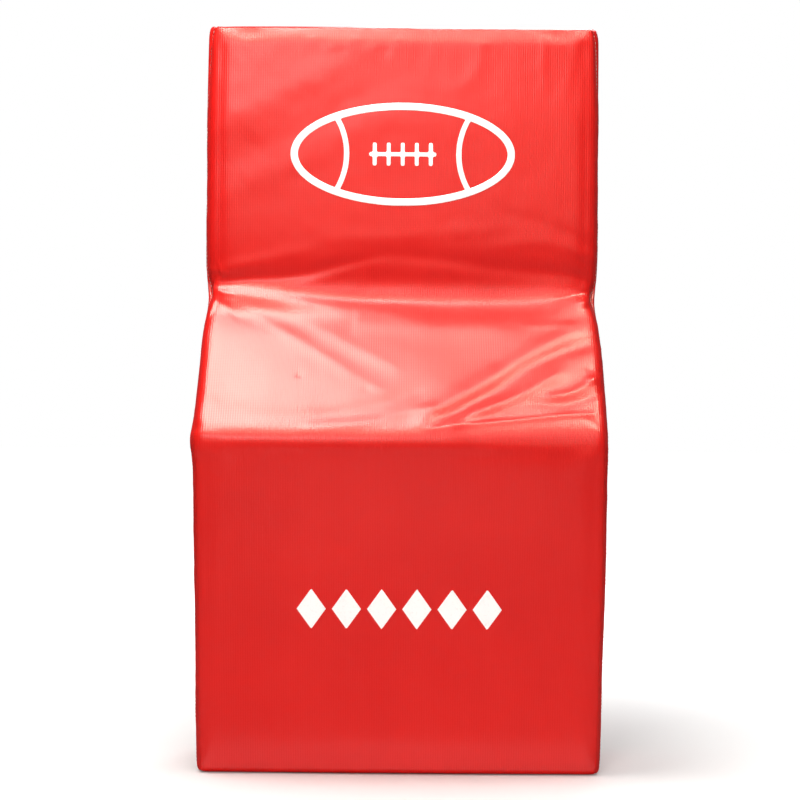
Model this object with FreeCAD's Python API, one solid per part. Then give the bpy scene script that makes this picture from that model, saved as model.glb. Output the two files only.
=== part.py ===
"""Junior rugby step shield: a hand-held tackle pad with a stepped, ridged face.

A layered foam core stands inside a sewn PVC cover. The holder's forearms go through two padded
webbing loops on the flat back, a webbing handle near the top carries it, and a zip low on the
back lets the foam layers out one at a time.

Frame: +Z up, front towards -Y, origin at the centre of the base's underside. Left is -X, as seen
from the front. Millimetres.
"""
import FreeCAD, Part

import math
import os

# ---- Driving dimensions -----------------------------------------------------------------------
WIDTH = 480.0
HEIGHT = 900.0
BASE_DEPTH = 180.0
RIDGE_DEPTH = 247.0
UPPER_DEPTH = 112.0
RIDGE_HEIGHT = 407.0
CREASE_HEIGHT = 572.0

BASE_EDGE_RADIUS = 8.0
RIDGE_RADIUS = 28.0
CREASE_RADIUS = 22.0
TOP_EDGE_RADIUS = 10.0

COVER_THICKNESS = 1.0
SEAM_SETBACK = 14.0          # how far the face panel wraps round before its seam
FOAM_GAP = 0.3               # foam to cover, front, back, top and base
FOAM_SIDE_GAP = 2.2          # foam to cover at the sides, which clears the eyelets' washers
FACE_FOAM = 20.0
BACK_FOAM = 25.0

ZIP_HEIGHT = 80.0            # centre line of the zip above the base
ZIP_WINDOW = 18.0            # gap between the two back panels
ZIP_TAPE_WIDTH = 20.0
ZIP_TAPE_THICKNESS = 0.8
TOOTH_PITCH = 4.0
TOOTH_GAP = 0.2
TOOTH_LENGTH = 5.2
TOOTH_THICKNESS = 2.6
TOOTH_OVERLAP = 1.8          # how far a tooth reaches past the centre line
TEETH_HALF_LENGTH = 212.0
STOP_LENGTH = 3.0
ZIP_PATCH_LENGTH = 21.0
ZIP_PATCH_WIDTH = 36.0

SLIDER_LENGTH = 13.0
SLIDER_PLATE = 1.2
SLIDER_HALF_CHANNEL = 4.2
SLIDER_FLANGE = 1.6
SLIDER_CLEARANCE = 0.4
SLIDER_REST_X = 204.0

PRINT_THICKNESS = 0.3
PATCH_THICKNESS = 1.0
WEBBING_THICKNESS = 2.5
JOINT_GAP = 0.6              # between a sewn webbing end and the loop that swings from it

# Each loop: main arc radius, end arc radius, angle of each arc, sewn length, webbing width.
ARM_LOOP = {"arc": 187.0, "end_arc": 48.0, "angle": 50.0, "tab": 70.0, "width": 50.0}
ARM_STRAP_X = 115.0
ARM_STRAP_Z = 500.0
SLEEVE_HALF_ANGLE = 31.0
SLEEVE_WIDTH = 64.0
SLEEVE_PAD = 7.6
SLEEVE_SKIN = 1.0
SLEEVE_GAP = 0.3

HANDLE_LOOP = {"arc": 70.0, "end_arc": 35.0, "angle": 55.0, "tab": 50.0, "width": 38.0}
HANDLE_Z = 830.0
GRIP_HALF_ANGLE = 36.0
GRIP_WIDTH = 43.0
GRIP_SKIN = 2.2

PATCH_MARGIN = 17.0
PATCH_CORNER = 10.0

EYELET_HOLE_RADIUS = 4.0
EYELET_BARREL = 0.8
EYELET_FLANGE_RADIUS = 8.5
EYELET_PLATE = 0.8
EYELET_CLEARANCE = 0.1
EYELET_Y = 40.0
EYELET_HEIGHTS = (190.0, 710.0)

UPPER_PRINT_Z = 744.0        # centre of the oval emblem above the base
OVAL_HALF_LENGTH = 137.0
OVAL_HALF_HEIGHT = 63.0
OVAL_LINE = 9.0
LOWER_PRINT_RISE = 203.0     # centre of the row of lozenges, measured up the lower face
LOZENGE_COUNT = 6
LOZENGE_PITCH = 41.0
LOZENGE_HALF_WIDTH = 17.0
LOZENGE_HALF_HEIGHT = 24.0

# ---- Worked out from the driving dimensions ----------------------------------------------------
BACK_Y = BASE_DEPTH / 2
HALF = WIDTH / 2
INNER_BACK_Y = BACK_Y - COVER_THICKNESS
FOAM_INSET = COVER_THICKNESS + FOAM_GAP
FOAM_HALF = HALF - COVER_THICKNESS - FOAM_SIDE_GAP
FAR = 2 * HEIGHT             # well outside the part, for cutting blocks

# The side profile's corners as (y, z), clockwise from the back of the base, and their rounding.
CORNERS = [
    (BACK_Y, 0.0),
    (BACK_Y - BASE_DEPTH, 0.0),
    (BACK_Y - RIDGE_DEPTH, RIDGE_HEIGHT),
    (BACK_Y - UPPER_DEPTH, CREASE_HEIGHT),
    (BACK_Y - UPPER_DEPTH, HEIGHT),
    (BACK_Y, HEIGHT),
]
RADII = [0.0, BASE_EDGE_RADIUS, RIDGE_RADIUS, CREASE_RADIUS, TOP_EDGE_RADIUS, 0.0]
BASE, LOWER, SLOPE, UPPER, TOP, BACK = range(6)


# ---- Plane geometry ----------------------------------------------------------------------------
def inset_corners(insets):
    """The profile's corners with edge i moved inwards by insets[i]; edge i starts at corner i."""
    count = len(CORNERS)
    lines = []
    for i, inset in enumerate(insets):
        (y0, z0), (y1, z1) = CORNERS[i], CORNERS[(i + 1) % count]
        length = math.hypot(y1 - y0, z1 - z0)
        along = ((y1 - y0) / length, (z1 - z0) / length)
        inwards = (along[1], -along[0])
        lines.append(((y0 + inwards[0] * inset, z0 + inwards[1] * inset), along))
    corners = []
    for i in range(count):
        (p, d), (q, e) = lines[i - 1], lines[i]
        cross = d[0] * e[1] - d[1] * e[0]
        step = ((q[0] - p[0]) * e[1] - (q[1] - p[1]) * e[0]) / cross
        corners.append((p[0] + d[0] * step, p[1] + d[1] * step))
    return corners


def rounded_wire(points, radii):
    """A closed wire through 3-D points, with each corner rounded to its radius."""
    count = len(points)
    starts, ends, arcs = [], [], []
    for i, radius in enumerate(radii):
        corner = points[i]
        before = (points[i - 1] - corner).normalize()
        after = (points[(i + 1) % count] - corner).normalize()
        if radius <= 0:
            starts.append(corner)
            ends.append(corner)
            arcs.append(None)
            continue
        half = before.getAngle(after) / 2
        reach = radius / math.tan(half)
        middle = (before + after).normalize()
        start, end = corner + before * reach, corner + after * reach
        deepest = corner + middle * (radius / math.sin(half) - radius)
        starts.append(start)
        ends.append(end)
        arcs.append(Part.Arc(start, deepest, end).toShape())
    edges = []
    for i in range(count):
        if arcs[i]:
            edges.append(arcs[i])
        edges.append(Part.LineSegment(ends[i], starts[(i + 1) % count]).toShape())
    return Part.Wire(edges)


def profile_prism(insets, half_width):
    """The side profile, with its edges moved inwards, made into a block half_width each way."""
    corners = inset_corners(insets)
    radii = []
    for i, radius in enumerate(RADII):
        nearest = max(insets[i - 1], insets[i])
        concave = CORNERS[i] == CORNERS[UPPER]
        radii.append(0.0 if radius == 0 else max(radius + (nearest if concave else -nearest), 0.0))
    points = [FreeCAD.Vector(-half_width, y, z) for y, z in corners]
    face = Part.Face(rounded_wire(points, radii))
    return face.extrude(FreeCAD.Vector(2 * half_width, 0, 0))


def polygon_prism(points, half_width):
    """A straight-sided block from (y, z) points."""
    loop = [FreeCAD.Vector(-half_width, y, z) for y, z in points]
    face = Part.Face(Part.makePolygon(loop + loop[:1]))
    return face.extrude(FreeCAD.Vector(2 * half_width, 0, 0))


def block(low, high):
    """An upright box between two corners."""
    size = [b - a for a, b in zip(low, high)]
    return Part.makeBox(*size, FreeCAD.Vector(*low))


def rounded_rectangle(width, height, radius):
    """A rounded rectangle's wire in the XY plane, centred on the origin."""
    x, y = width / 2, height / 2
    points = [FreeCAD.Vector(a, b, 0) for a, b in ((-x, -y), (x, -y), (x, y), (-x, y))]
    return rounded_wire(points, [radius] * 4)


# ---- Foam core ---------------------------------------------------------------------------------
def beyond(corner, through, distance):
    """The point a distance past `corner`, on the line from `through`."""
    dy, dz = corner[0] - through[0], corner[1] - through[1]
    length = math.hypot(dy, dz)
    return (corner[0] + dy / length * distance, corner[1] + dz / length * distance)


def foam_layers():
    """Six foam layers that fill the cover: a dense back, a main slab, a wedge and three face pads."""
    whole = profile_prism([FOAM_INSET] * 6, FOAM_HALF)
    outer = inset_corners([FOAM_INSET] * 6)
    deep = FOAM_INSET + FACE_FOAM
    inner = inset_corners([-FAR, deep, deep, deep, -FAR, -FAR])
    behind_face = polygon_prism(inner, FAR)
    face = whole.cut(behind_face)
    core = whole.common(behind_face)

    # The face pads meet on mitre planes through the ridge and the crease.
    inner_ridge, inner_crease = inner[SLOPE], inner[UPPER]
    ridge_out = beyond(outer[SLOPE], inner_ridge, FAR)
    ridge_in = beyond(inner_ridge, outer[SLOPE], FAR)
    crease_out = beyond(outer[UPPER], inner_crease, FAR)
    crease_in = beyond(inner_crease, outer[UPPER], FAR)
    below_ridge = polygon_prism([ridge_in, ridge_out, (-FAR, -FAR), (FAR, -FAR)], FAR)
    above_crease = polygon_prism([crease_out, crease_in, (FAR, FAR), (-FAR, FAR)], FAR)

    slab_front = BACK_Y - UPPER_DEPTH + deep
    slab_back = BACK_Y - FOAM_INSET - BACK_FOAM
    in_back = block((-FAR, slab_back, -FAR), (FAR, FAR, FAR))
    in_wedge = block((-FAR, -FAR, -FAR), (FAR, slab_front, FAR))

    groove_half = TOOTH_LENGTH - TOOTH_OVERLAP + ZIP_TAPE_WIDTH + 2.0
    groove = block(
        (-HALF, INNER_BACK_Y - ZIP_TAPE_THICKNESS - 3.7, ZIP_HEIGHT - groove_half),
        (HALF, BACK_Y, ZIP_HEIGHT + groove_half),
    )
    return {
        "lower_face_foam": face.common(below_ridge),
        "slope_face_foam": face.cut(below_ridge).cut(above_crease),
        "upper_face_foam": face.common(above_crease),
        "wedge_foam_block": core.common(in_wedge),
        "main_foam_slab": core.cut(in_wedge).cut(in_back),
        "back_foam_layer": core.common(in_back).cut(groove),
    }


# ---- Cover -------------------------------------------------------------------------------------
def eyelet_places():
    """Where the four vent eyelets sit, as (side, height), with side -1 for left."""
    return [(side, height) for side in (-1, 1) for height in EYELET_HEIGHTS]


def x_cylinder(radius, x_low, x_high, y, z):
    """A round bar along X."""
    return Part.makeCylinder(
        radius, x_high - x_low, FreeCAD.Vector(x_low, y, z), FreeCAD.Vector(1, 0, 0)
    )


def cover_panels():
    """The sewn cover's panels, edge to edge. The face panel wraps SEAM_SETBACK round every side."""
    t = COVER_THICKNESS
    shell = profile_prism([0.0] * 6, HALF).cut(profile_prism([t] * 6, HALF - t))
    setback = SEAM_SETBACK
    behind_seam = polygon_prism(inset_corners([-FAR, setback, setback, setback, -FAR, -FAR]), FAR)
    panels = {"front_panel": shell.cut(behind_seam)}

    rear = shell.common(behind_seam)
    hole = EYELET_HOLE_RADIUS + EYELET_BARREL + EYELET_CLEARANCE
    for name, side in (("left", -1), ("right", 1)):
        x_low, x_high = sorted((side * (HALF - t), side * HALF))
        gusset = rear.common(block((x_low, -FAR, -FAR), (x_high, FAR, FAR)))
        for eyelet_side, height in eyelet_places():
            if eyelet_side == side:
                gusset = gusset.cut(x_cylinder(hole, x_low - t, x_high + t, EYELET_Y, height))
        panels[f"side_gusset_{name}"] = gusset

    inside = HALF - t
    panels["top_gusset"] = rear.common(block((-inside, -FAR, HEIGHT - t), (inside, BACK_Y, HEIGHT)))
    window_low, window_high = ZIP_HEIGHT - ZIP_WINDOW / 2, ZIP_HEIGHT + ZIP_WINDOW / 2
    panels["back_panel_lower"] = block((-inside, INNER_BACK_Y, t), (inside, BACK_Y, window_low))
    panels["back_panel_upper"] = block(
        (-inside, INNER_BACK_Y, window_high), (inside, BACK_Y, HEIGHT - t)
    )
    panels["base_gusset"] = rear.common(block((-inside, -FAR, 0), (inside, BACK_Y, t)))
    return panels


def prints():
    """The two white transfer prints on the face: an oval ball outline and a row of lozenges."""
    ring = [
        Part.Face(Part.Wire(Part.Ellipse(FreeCAD.Vector(), a, b).toShape()))
        for a, b in (
            (OVAL_HALF_LENGTH, OVAL_HALF_HEIGHT),
            (OVAL_HALF_LENGTH - OVAL_LINE, OVAL_HALF_HEIGHT - OVAL_LINE),
        )
    ]
    lift = FreeCAD.Vector(0, 0, PRINT_THICKNESS)
    inside = ring[1].extrude(lift)
    marks = [ring[0].cut(ring[1]).extrude(lift)]

    # Seam bands near the ball's points, and its laces.
    band_radius = 0.62 * OVAL_HALF_LENGTH
    band_centre = 1.12 * OVAL_HALF_LENGTH
    for side in (-1, 1):
        centre = FreeCAD.Vector(side * band_centre, 0, 0)
        band = Part.makeCylinder(band_radius, PRINT_THICKNESS, centre).cut(
            Part.makeCylinder(band_radius - OVAL_LINE * 0.75, PRINT_THICKNESS, centre)
        )
        marks.append(band.common(inside))
    lace_half = 0.3 * OVAL_HALF_LENGTH
    lace = block(
        (-lace_half, -OVAL_LINE / 3, 0), (lace_half, OVAL_LINE / 3, PRINT_THICKNESS)
    )
    for k in range(-2, 3):
        x = k * lace_half * 0.4
        stitch = block(
            (x - OVAL_LINE / 3, -OVAL_HALF_HEIGHT * 0.24, 0),
            (x + OVAL_LINE / 3, OVAL_HALF_HEIGHT * 0.24, PRINT_THICKNESS),
        )
        lace = lace.fuse(stitch)
    marks.append(lace.removeSplitter())
    upper = Part.makeCompound(marks)
    upper.Placement = FreeCAD.Placement(
        FreeCAD.Vector(0, BACK_Y - UPPER_DEPTH, UPPER_PRINT_Z),
        FreeCAD.Rotation(FreeCAD.Vector(1, 0, 0), 90),
    )

    lozenges = []
    for k in range(LOZENGE_COUNT):
        x = (k - (LOZENGE_COUNT - 1) / 2) * LOZENGE_PITCH
        loop = [
            FreeCAD.Vector(x + LOZENGE_HALF_WIDTH, 0, 0),
            FreeCAD.Vector(x, LOZENGE_HALF_HEIGHT, 0),
            FreeCAD.Vector(x - LOZENGE_HALF_WIDTH, 0, 0),
            FreeCAD.Vector(x, -LOZENGE_HALF_HEIGHT, 0),
        ]
        lozenges.append(Part.Face(Part.makePolygon(loop + loop[:1])).extrude(lift))
    lower = Part.makeCompound(lozenges)
    (y0, z0), (y1, z1) = CORNERS[LOWER], CORNERS[SLOPE]
    length = math.hypot(y1 - y0, z1 - z0)
    share = LOWER_PRINT_RISE / length
    lower.Placement = FreeCAD.Placement(
        FreeCAD.Vector(0, y0 + (y1 - y0) * share, z0 + (z1 - z0) * share),
        FreeCAD.Rotation(FreeCAD.Vector(1, 0, 0), math.degrees(math.atan2(z1 - z0, y1 - y0))),
    )
    return {"upper_print": upper, "lower_print": lower}


def vents():
    """Pressed eyelets that let air out of the cover on impact, each with a washer inside."""
    eyelets, washers = [], []
    barrel = EYELET_HOLE_RADIUS + EYELET_BARREL
    inner_face = HALF - COVER_THICKNESS
    for side, height in eyelet_places():
        def tube(outer, inner, low, high):
            x_low, x_high = sorted((side * low, side * high))
            ring = x_cylinder(outer, x_low, x_high, EYELET_Y, height)
            return ring.cut(x_cylinder(inner, x_low - 1, x_high + 1, EYELET_Y, height))

        flange = tube(EYELET_FLANGE_RADIUS, EYELET_HOLE_RADIUS, HALF, HALF + EYELET_PLATE)
        barrel_tube = tube(barrel, EYELET_HOLE_RADIUS, inner_face - EYELET_PLATE, HALF)
        eyelets.append(flange.fuse(barrel_tube).removeSplitter())
        bore = barrel + EYELET_CLEARANCE
        washers.append(tube(EYELET_FLANGE_RADIUS, bore, inner_face - EYELET_PLATE, inner_face))
    return {
        "vent_eyelets": Part.makeCompound(eyelets),
        "vent_washers": Part.makeCompound(washers),
    }


# ---- Zip ---------------------------------------------------------------------------------------
TAPE_Y = (INNER_BACK_Y - ZIP_TAPE_THICKNESS, INNER_BACK_Y)
CHAIN_Y = INNER_BACK_Y - ZIP_TAPE_THICKNESS / 2      # mid-plane of the teeth
TOOTH_REACH = TOOTH_LENGTH - TOOTH_OVERLAP           # from the centre line to the tape's edge
CHANNEL_HALF_HEIGHT = TOOTH_THICKNESS / 2 + SLIDER_CLEARANCE
SLIDER_TOP_Y = CHAIN_Y + CHANNEL_HALF_HEIGHT + SLIDER_PLATE
PULL_BAR_RADIUS = 0.9
PULL_AXIS_Y = SLIDER_TOP_Y + 1.6


def zip_side(side):
    """One tape and its row of teeth; side is 1 for the upper row and -1 for the lower."""
    def span(near, far):
        return sorted((ZIP_HEIGHT + side * near, ZIP_HEIGHT + side * far))

    z_low, z_high = span(TOOTH_REACH, TOOTH_REACH + ZIP_TAPE_WIDTH)
    tape_half = HALF - COVER_THICKNESS - 1.0
    tape = block((-tape_half, TAPE_Y[0], z_low), (tape_half, TAPE_Y[1], z_high))
    z_low, z_high = span(-TOOTH_OVERLAP, TOOTH_REACH)
    y_low, y_high = CHAIN_Y - TOOTH_THICKNESS / 2, CHAIN_Y + TOOTH_THICKNESS / 2
    offset = TOOTH_PITCH / 4 * (1 - side)
    width = TOOTH_PITCH / 2 - TOOTH_GAP
    teeth = []
    for k in range(int(2 * TEETH_HALF_LENGTH / TOOTH_PITCH)):
        x = -TEETH_HALF_LENGTH + k * TOOTH_PITCH + offset
        teeth.append(block((x, y_low, z_low), (x + width, y_high, z_high)))
    return tape, Part.makeCompound(teeth)


def zip_slider():
    """The slider's outer and inner plates, with the bridge that holds the pull."""
    half_length = SLIDER_LENGTH / 2
    half_width = SLIDER_HALF_CHANNEL + SLIDER_FLANGE
    plates = []
    for side, tape_face in ((1, TAPE_Y[1]), (-1, TAPE_Y[0])):
        flange_start = tape_face + side * 0.3
        channel_face = CHAIN_Y + side * CHANNEL_HALF_HEIGHT
        plate_face = channel_face + side * SLIDER_PLATE
        y_low, y_high = sorted((flange_start, plate_face))
        body = block(
            (-half_length, y_low, ZIP_HEIGHT - half_width),
            (half_length, y_high, ZIP_HEIGHT + half_width),
        )
        y_low, y_high = sorted((flange_start - side, channel_face))
        channel = block(
            (-FAR, y_low, ZIP_HEIGHT - SLIDER_HALF_CHANNEL),
            (FAR, y_high, ZIP_HEIGHT + SLIDER_HALF_CHANNEL),
        )
        plates.append(body.cut(channel))

    post_inner, post_outer, bridge_half_width = 2.7, 4.1, 1.5
    bridge_top = SLIDER_TOP_Y + 5.0
    bridge = block(
        (-post_outer, SLIDER_TOP_Y, ZIP_HEIGHT - bridge_half_width),
        (post_outer, bridge_top, ZIP_HEIGHT + bridge_half_width),
    ).cut(
        block(
            (-post_inner, SLIDER_TOP_Y, ZIP_HEIGHT - bridge_half_width),
            (post_inner, bridge_top - SLIDER_PLATE, ZIP_HEIGHT + bridge_half_width),
        )
    )
    slider = Part.makeCompound([plates[0].fuse(bridge).removeSplitter(), plates[1]])
    slider.translate(FreeCAD.Vector(SLIDER_REST_X, 0, 0))
    return slider


def zip_pull():
    """The pull: a plate with a window for the bridge and a round bar that turns under it."""
    half_width, window_half, thickness = 4.5, 2.2, 1.6
    window_end, reach = 8.0, 34.0
    y_low, y_high = PULL_AXIS_Y - thickness / 2, PULL_AXIS_Y + thickness / 2
    plate = block(
        (-reach, y_low, ZIP_HEIGHT - half_width), (0, y_high, ZIP_HEIGHT + half_width)
    )
    far_edges = [e for e in plate.Edges if abs(e.CenterOfMass.x + reach) < 0.01
                 and abs(e.CenterOfMass.y - PULL_AXIS_Y) < 0.01]
    plate = plate.makeFillet(half_width - 0.6, far_edges)
    window = block(
        (-window_end, y_low, ZIP_HEIGHT - window_half), (1, y_high, ZIP_HEIGHT + window_half)
    )
    thumb_hole = Part.makeCylinder(
        2.2, 3 * thickness, FreeCAD.Vector(5 - reach, y_low - thickness, ZIP_HEIGHT),
        FreeCAD.Vector(0, 1, 0),
    )
    bar = Part.makeCylinder(
        PULL_BAR_RADIUS, 2 * half_width, FreeCAD.Vector(0, PULL_AXIS_Y, ZIP_HEIGHT - half_width)
    )
    pull = plate.cut(window).cut(thumb_hole).fuse(bar).removeSplitter()
    pull.translate(FreeCAD.Vector(SLIDER_REST_X, 0, 0))
    return pull


def zip_parts():
    """Both sides of the zip, its end stops, the patches over its ends, its slider and its pull."""
    parts = {"zip_slider": zip_slider(), "zip_pull": zip_pull()}
    for name, side in (("upper", 1), ("lower", -1)):
        parts[f"zip_tape_{name}"], parts[f"zip_teeth_{name}"] = zip_side(side)
    stops, end_patches = [], []
    patch_end = HALF - COVER_THICKNESS - 1.0
    for side in (-1, 1):
        start = TEETH_HALF_LENGTH + TOOTH_GAP
        x_low, x_high = sorted((side * start, side * (start + STOP_LENGTH)))
        stops.append(block(
            (x_low, CHAIN_Y - TOOTH_THICKNESS / 2, ZIP_HEIGHT - TOOTH_REACH),
            (x_high, CHAIN_Y + TOOTH_THICKNESS / 2, ZIP_HEIGHT + TOOTH_REACH),
        ))
        x_low, x_high = sorted((side * (patch_end - ZIP_PATCH_LENGTH), side * patch_end))
        end_patches.append(block(
            (x_low, BACK_Y, ZIP_HEIGHT - ZIP_PATCH_WIDTH / 2),
            (x_high, BACK_Y + PATCH_THICKNESS, ZIP_HEIGHT + ZIP_PATCH_WIDTH / 2),
        ))
    parts["zip_end_stops"] = Part.makeCompound(stops)
    parts["zip_end_patches"] = Part.makeCompound(end_patches)
    return parts


# ---- Webbing loops -----------------------------------------------------------------------------
# A loop is made flat on the XY plane: x along the strap from its middle, y out from the back and
# z across the webbing. `place` then stands it on the shield.
def loop_geometry(loop):
    """Half the span between the sewn ends, the rise, and the centre height of the main arc."""
    angle = math.radians(loop["angle"])
    both = loop["arc"] + loop["end_arc"]
    half_span = both * math.sin(angle)
    rise = both * (1 - math.cos(angle))
    return half_span, rise, rise - loop["arc"]


def webbing_strip(loop):
    """The whole strip of webbing: sewn end, end arc, main arc, end arc, sewn end."""
    half_span, rise, centre_y = loop_geometry(loop)
    angle = math.radians(loop["angle"])
    sides = []
    for offset in (WEBBING_THICKNESS / 2, -WEBBING_THICKNESS / 2):
        small, big = loop["end_arc"] - offset, loop["arc"] + offset
        end = FreeCAD.Vector(half_span + loop["tab"], offset, 0)
        foot = FreeCAD.Vector(half_span, offset, 0)
        halfway = FreeCAD.Vector(half_span - small * math.sin(angle / 2),
                                 loop["end_arc"] - small * math.cos(angle / 2), 0)
        joint = FreeCAD.Vector(half_span - small * math.sin(angle),
                               loop["end_arc"] - small * math.cos(angle), 0)
        crown = FreeCAD.Vector(0, centre_y + big, 0)

        def mirrored(point):
            return FreeCAD.Vector(-point.x, point.y, point.z)

        sides.append({
            "edges": [
                Part.LineSegment(end, foot).toShape(),
                Part.Arc(foot, halfway, joint).toShape(),
                Part.Arc(joint, crown, mirrored(joint)).toShape(),
                Part.Arc(mirrored(joint), mirrored(halfway), mirrored(foot)).toShape(),
                Part.LineSegment(mirrored(foot), mirrored(end)).toShape(),
            ],
            "ends": (end, mirrored(end)),
        })
    caps = [
        Part.LineSegment(sides[0]["ends"][k], sides[1]["ends"][k]).toShape() for k in (0, 1)
    ]
    edges = Part.sortEdges(sides[0]["edges"] + sides[1]["edges"] + caps)[0]
    face = Part.Face(Part.Wire(edges))
    face.translate(FreeCAD.Vector(0, 0, -loop["width"] / 2))
    return face.extrude(FreeCAD.Vector(0, 0, loop["width"]))


def joint_reach(loop):
    """How far from the middle the main arc ends and the sewn end piece begins."""
    return loop["arc"] * math.sin(math.radians(loop["angle"]))


def split_webbing(loop):
    """The swinging part of the webbing, and its two sewn ends."""
    strip = webbing_strip(loop)
    near, far = joint_reach(loop) - JOINT_GAP / 2, joint_reach(loop) + JOINT_GAP / 2
    swinging = strip.common(block((-near, -FAR, -FAR), (near, FAR, FAR)))
    sewn = strip.cut(block((-far, -FAR, -FAR), (far, FAR, FAR)))
    return swinging, sewn


def arc_sleeve(loop, half_angle, width, inwards, outwards, corner):
    """A bar that follows the main arc, from `inwards` inside its radius to `outwards` outside it."""
    _, _, centre_y = loop_geometry(loop)
    middle = loop["arc"] + (outwards - inwards) / 2
    section = Part.Face(rounded_rectangle(width, inwards + outwards, corner))
    section.Placement = FreeCAD.Placement(
        FreeCAD.Vector(0, centre_y + middle, 0), FreeCAD.Rotation(FreeCAD.Vector(0, 1, 0), 90)
    )
    centre = FreeCAD.Vector(0, centre_y, 0)
    axis = FreeCAD.Vector(0, 0, 1)
    section.rotate(centre, axis, -half_angle)
    return section.revolve(centre, axis, 2 * half_angle)


def patches(loop):
    """A PVC patch under each sewn end, from the panel's face up to the webbing's underside."""
    half_span, _, _ = loop_geometry(loop)
    length, width = loop["tab"] + PATCH_MARGIN, loop["width"] + 2 * PATCH_MARGIN
    found = []
    for side in (-1, 1):
        patch = Part.Face(rounded_rectangle(length, width, PATCH_CORNER)).extrude(
            FreeCAD.Vector(0, 0, PATCH_THICKNESS)
        )
        patch.Placement = FreeCAD.Placement(
            FreeCAD.Vector(side * (half_span + loop["tab"] / 2), -WEBBING_THICKNESS / 2, 0),
            FreeCAD.Rotation(FreeCAD.Vector(1, 0, 0), 90),
        )
        found.append(patch)
    return Part.makeCompound(found)


def place(shape, x, z, upright):
    """Stands a loop's shape on the back panel, with its middle at x, z."""
    turn = FreeCAD.Rotation(FreeCAD.Vector(0, 1, 0), -90 if upright else 0)
    seat = BACK_Y + PATCH_THICKNESS + WEBBING_THICKNESS / 2
    moved = shape.copy()
    moved.Placement = FreeCAD.Placement(FreeCAD.Vector(x, seat, z), turn).multiply(moved.Placement)
    return moved


def arm_straps():
    """The two forearm loops, each webbing inside a padded sleeve."""
    swinging, sewn = split_webbing(ARM_LOOP)
    half_webbing = WEBBING_THICKNESS / 2
    outwards = half_webbing + SLEEVE_GAP
    inwards = half_webbing + 2 * SLEEVE_GAP + SLEEVE_PAD
    hollow_width = SLEEVE_WIDTH - 2 * SLEEVE_SKIN
    sleeve = arc_sleeve(
        ARM_LOOP, SLEEVE_HALF_ANGLE, SLEEVE_WIDTH, inwards + SLEEVE_SKIN + SLEEVE_GAP,
        outwards + SLEEVE_SKIN, 4.0,
    ).cut(arc_sleeve(
        ARM_LOOP, SLEEVE_HALF_ANGLE + 1, hollow_width, inwards + SLEEVE_GAP, outwards, 3.0,
    ))
    pad = arc_sleeve(
        ARM_LOOP, SLEEVE_HALF_ANGLE - 1, hollow_width - 2 * SLEEVE_GAP,
        inwards - SLEEVE_GAP, -half_webbing - SLEEVE_GAP, 2.5,
    )
    parts = {}
    under = []
    for name, x in (("left", -ARM_STRAP_X), ("right", ARM_STRAP_X)):
        for piece, shape in (("webbing", swinging), ("anchors", sewn), ("sleeve", sleeve), ("pad", pad)):
            parts[f"arm_strap_{name}_{piece}"] = place(shape, x, ARM_STRAP_Z, True)
        under.append(place(patches(ARM_LOOP), x, ARM_STRAP_Z, True))
    parts["arm_strap_patches"] = Part.makeCompound(under)
    return parts


def carry_handle():
    """The webbing handle across the top of the back, with a moulded grip."""
    swinging, sewn = split_webbing(HANDLE_LOOP)
    hollow = WEBBING_THICKNESS / 2 + SLEEVE_GAP
    grip = arc_sleeve(
        HANDLE_LOOP, GRIP_HALF_ANGLE, GRIP_WIDTH, hollow + GRIP_SKIN, hollow + GRIP_SKIN, 3.0
    ).cut(arc_sleeve(
        HANDLE_LOOP, GRIP_HALF_ANGLE + 1, HANDLE_LOOP["width"] + 2 * SLEEVE_GAP, hollow, hollow, 0.5
    ))
    shapes = {
        "carry_handle_webbing": swinging,
        "carry_handle_anchors": sewn,
        "carry_handle_grip": grip,
        "carry_handle_patches": patches(HANDLE_LOOP),
    }
    return {name: place(shape, 0, HANDLE_Z, False) for name, shape in shapes.items()}


# ---- Build -------------------------------------------------------------------------------------
def build():
    """Every node of the shield, by name."""
    nodes = {}
    for made in (foam_layers(), cover_panels(), prints(), vents(), zip_parts(), arm_straps(),
                 carry_handle()):
        nodes.update(made)
    return nodes


def main():
    os.makedirs("parts", exist_ok=True)
    for name, shape in build().items():
        if not shape.isValid():
            raise ValueError(f"{name} is not a valid shape")
        solids = shape.Solids
        whole = solids[0] if len(solids) == 1 else Part.makeCompound(solids)
        whole.exportStep(f"parts/{name}.step")
        box = whole.BoundBox
        print(f"{name}: {len(solids)} solid(s), {box.XLength:.1f} x {box.YLength:.1f} x "
              f"{box.ZLength:.1f} mm, {sum(s.Volume for s in solids) / 1000:.1f} cm3")
    for label, loop in (("arm strap", ARM_LOOP), ("carry handle", HANDLE_LOOP)):
        half_span, rise, _ = loop_geometry(loop)
        print(f"{label}: span {2 * half_span:.1f}, rise {rise:.1f}, joint at {joint_reach(loop):.1f}")


if __name__ == "__main__":
    main()
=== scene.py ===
import math
import random
from collections import namedtuple

import bmesh
import bpy
import numpy as np
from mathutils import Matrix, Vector, noise
from mathutils.bvhtree import BVHTree
from mathutils.kdtree import KDTree


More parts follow.
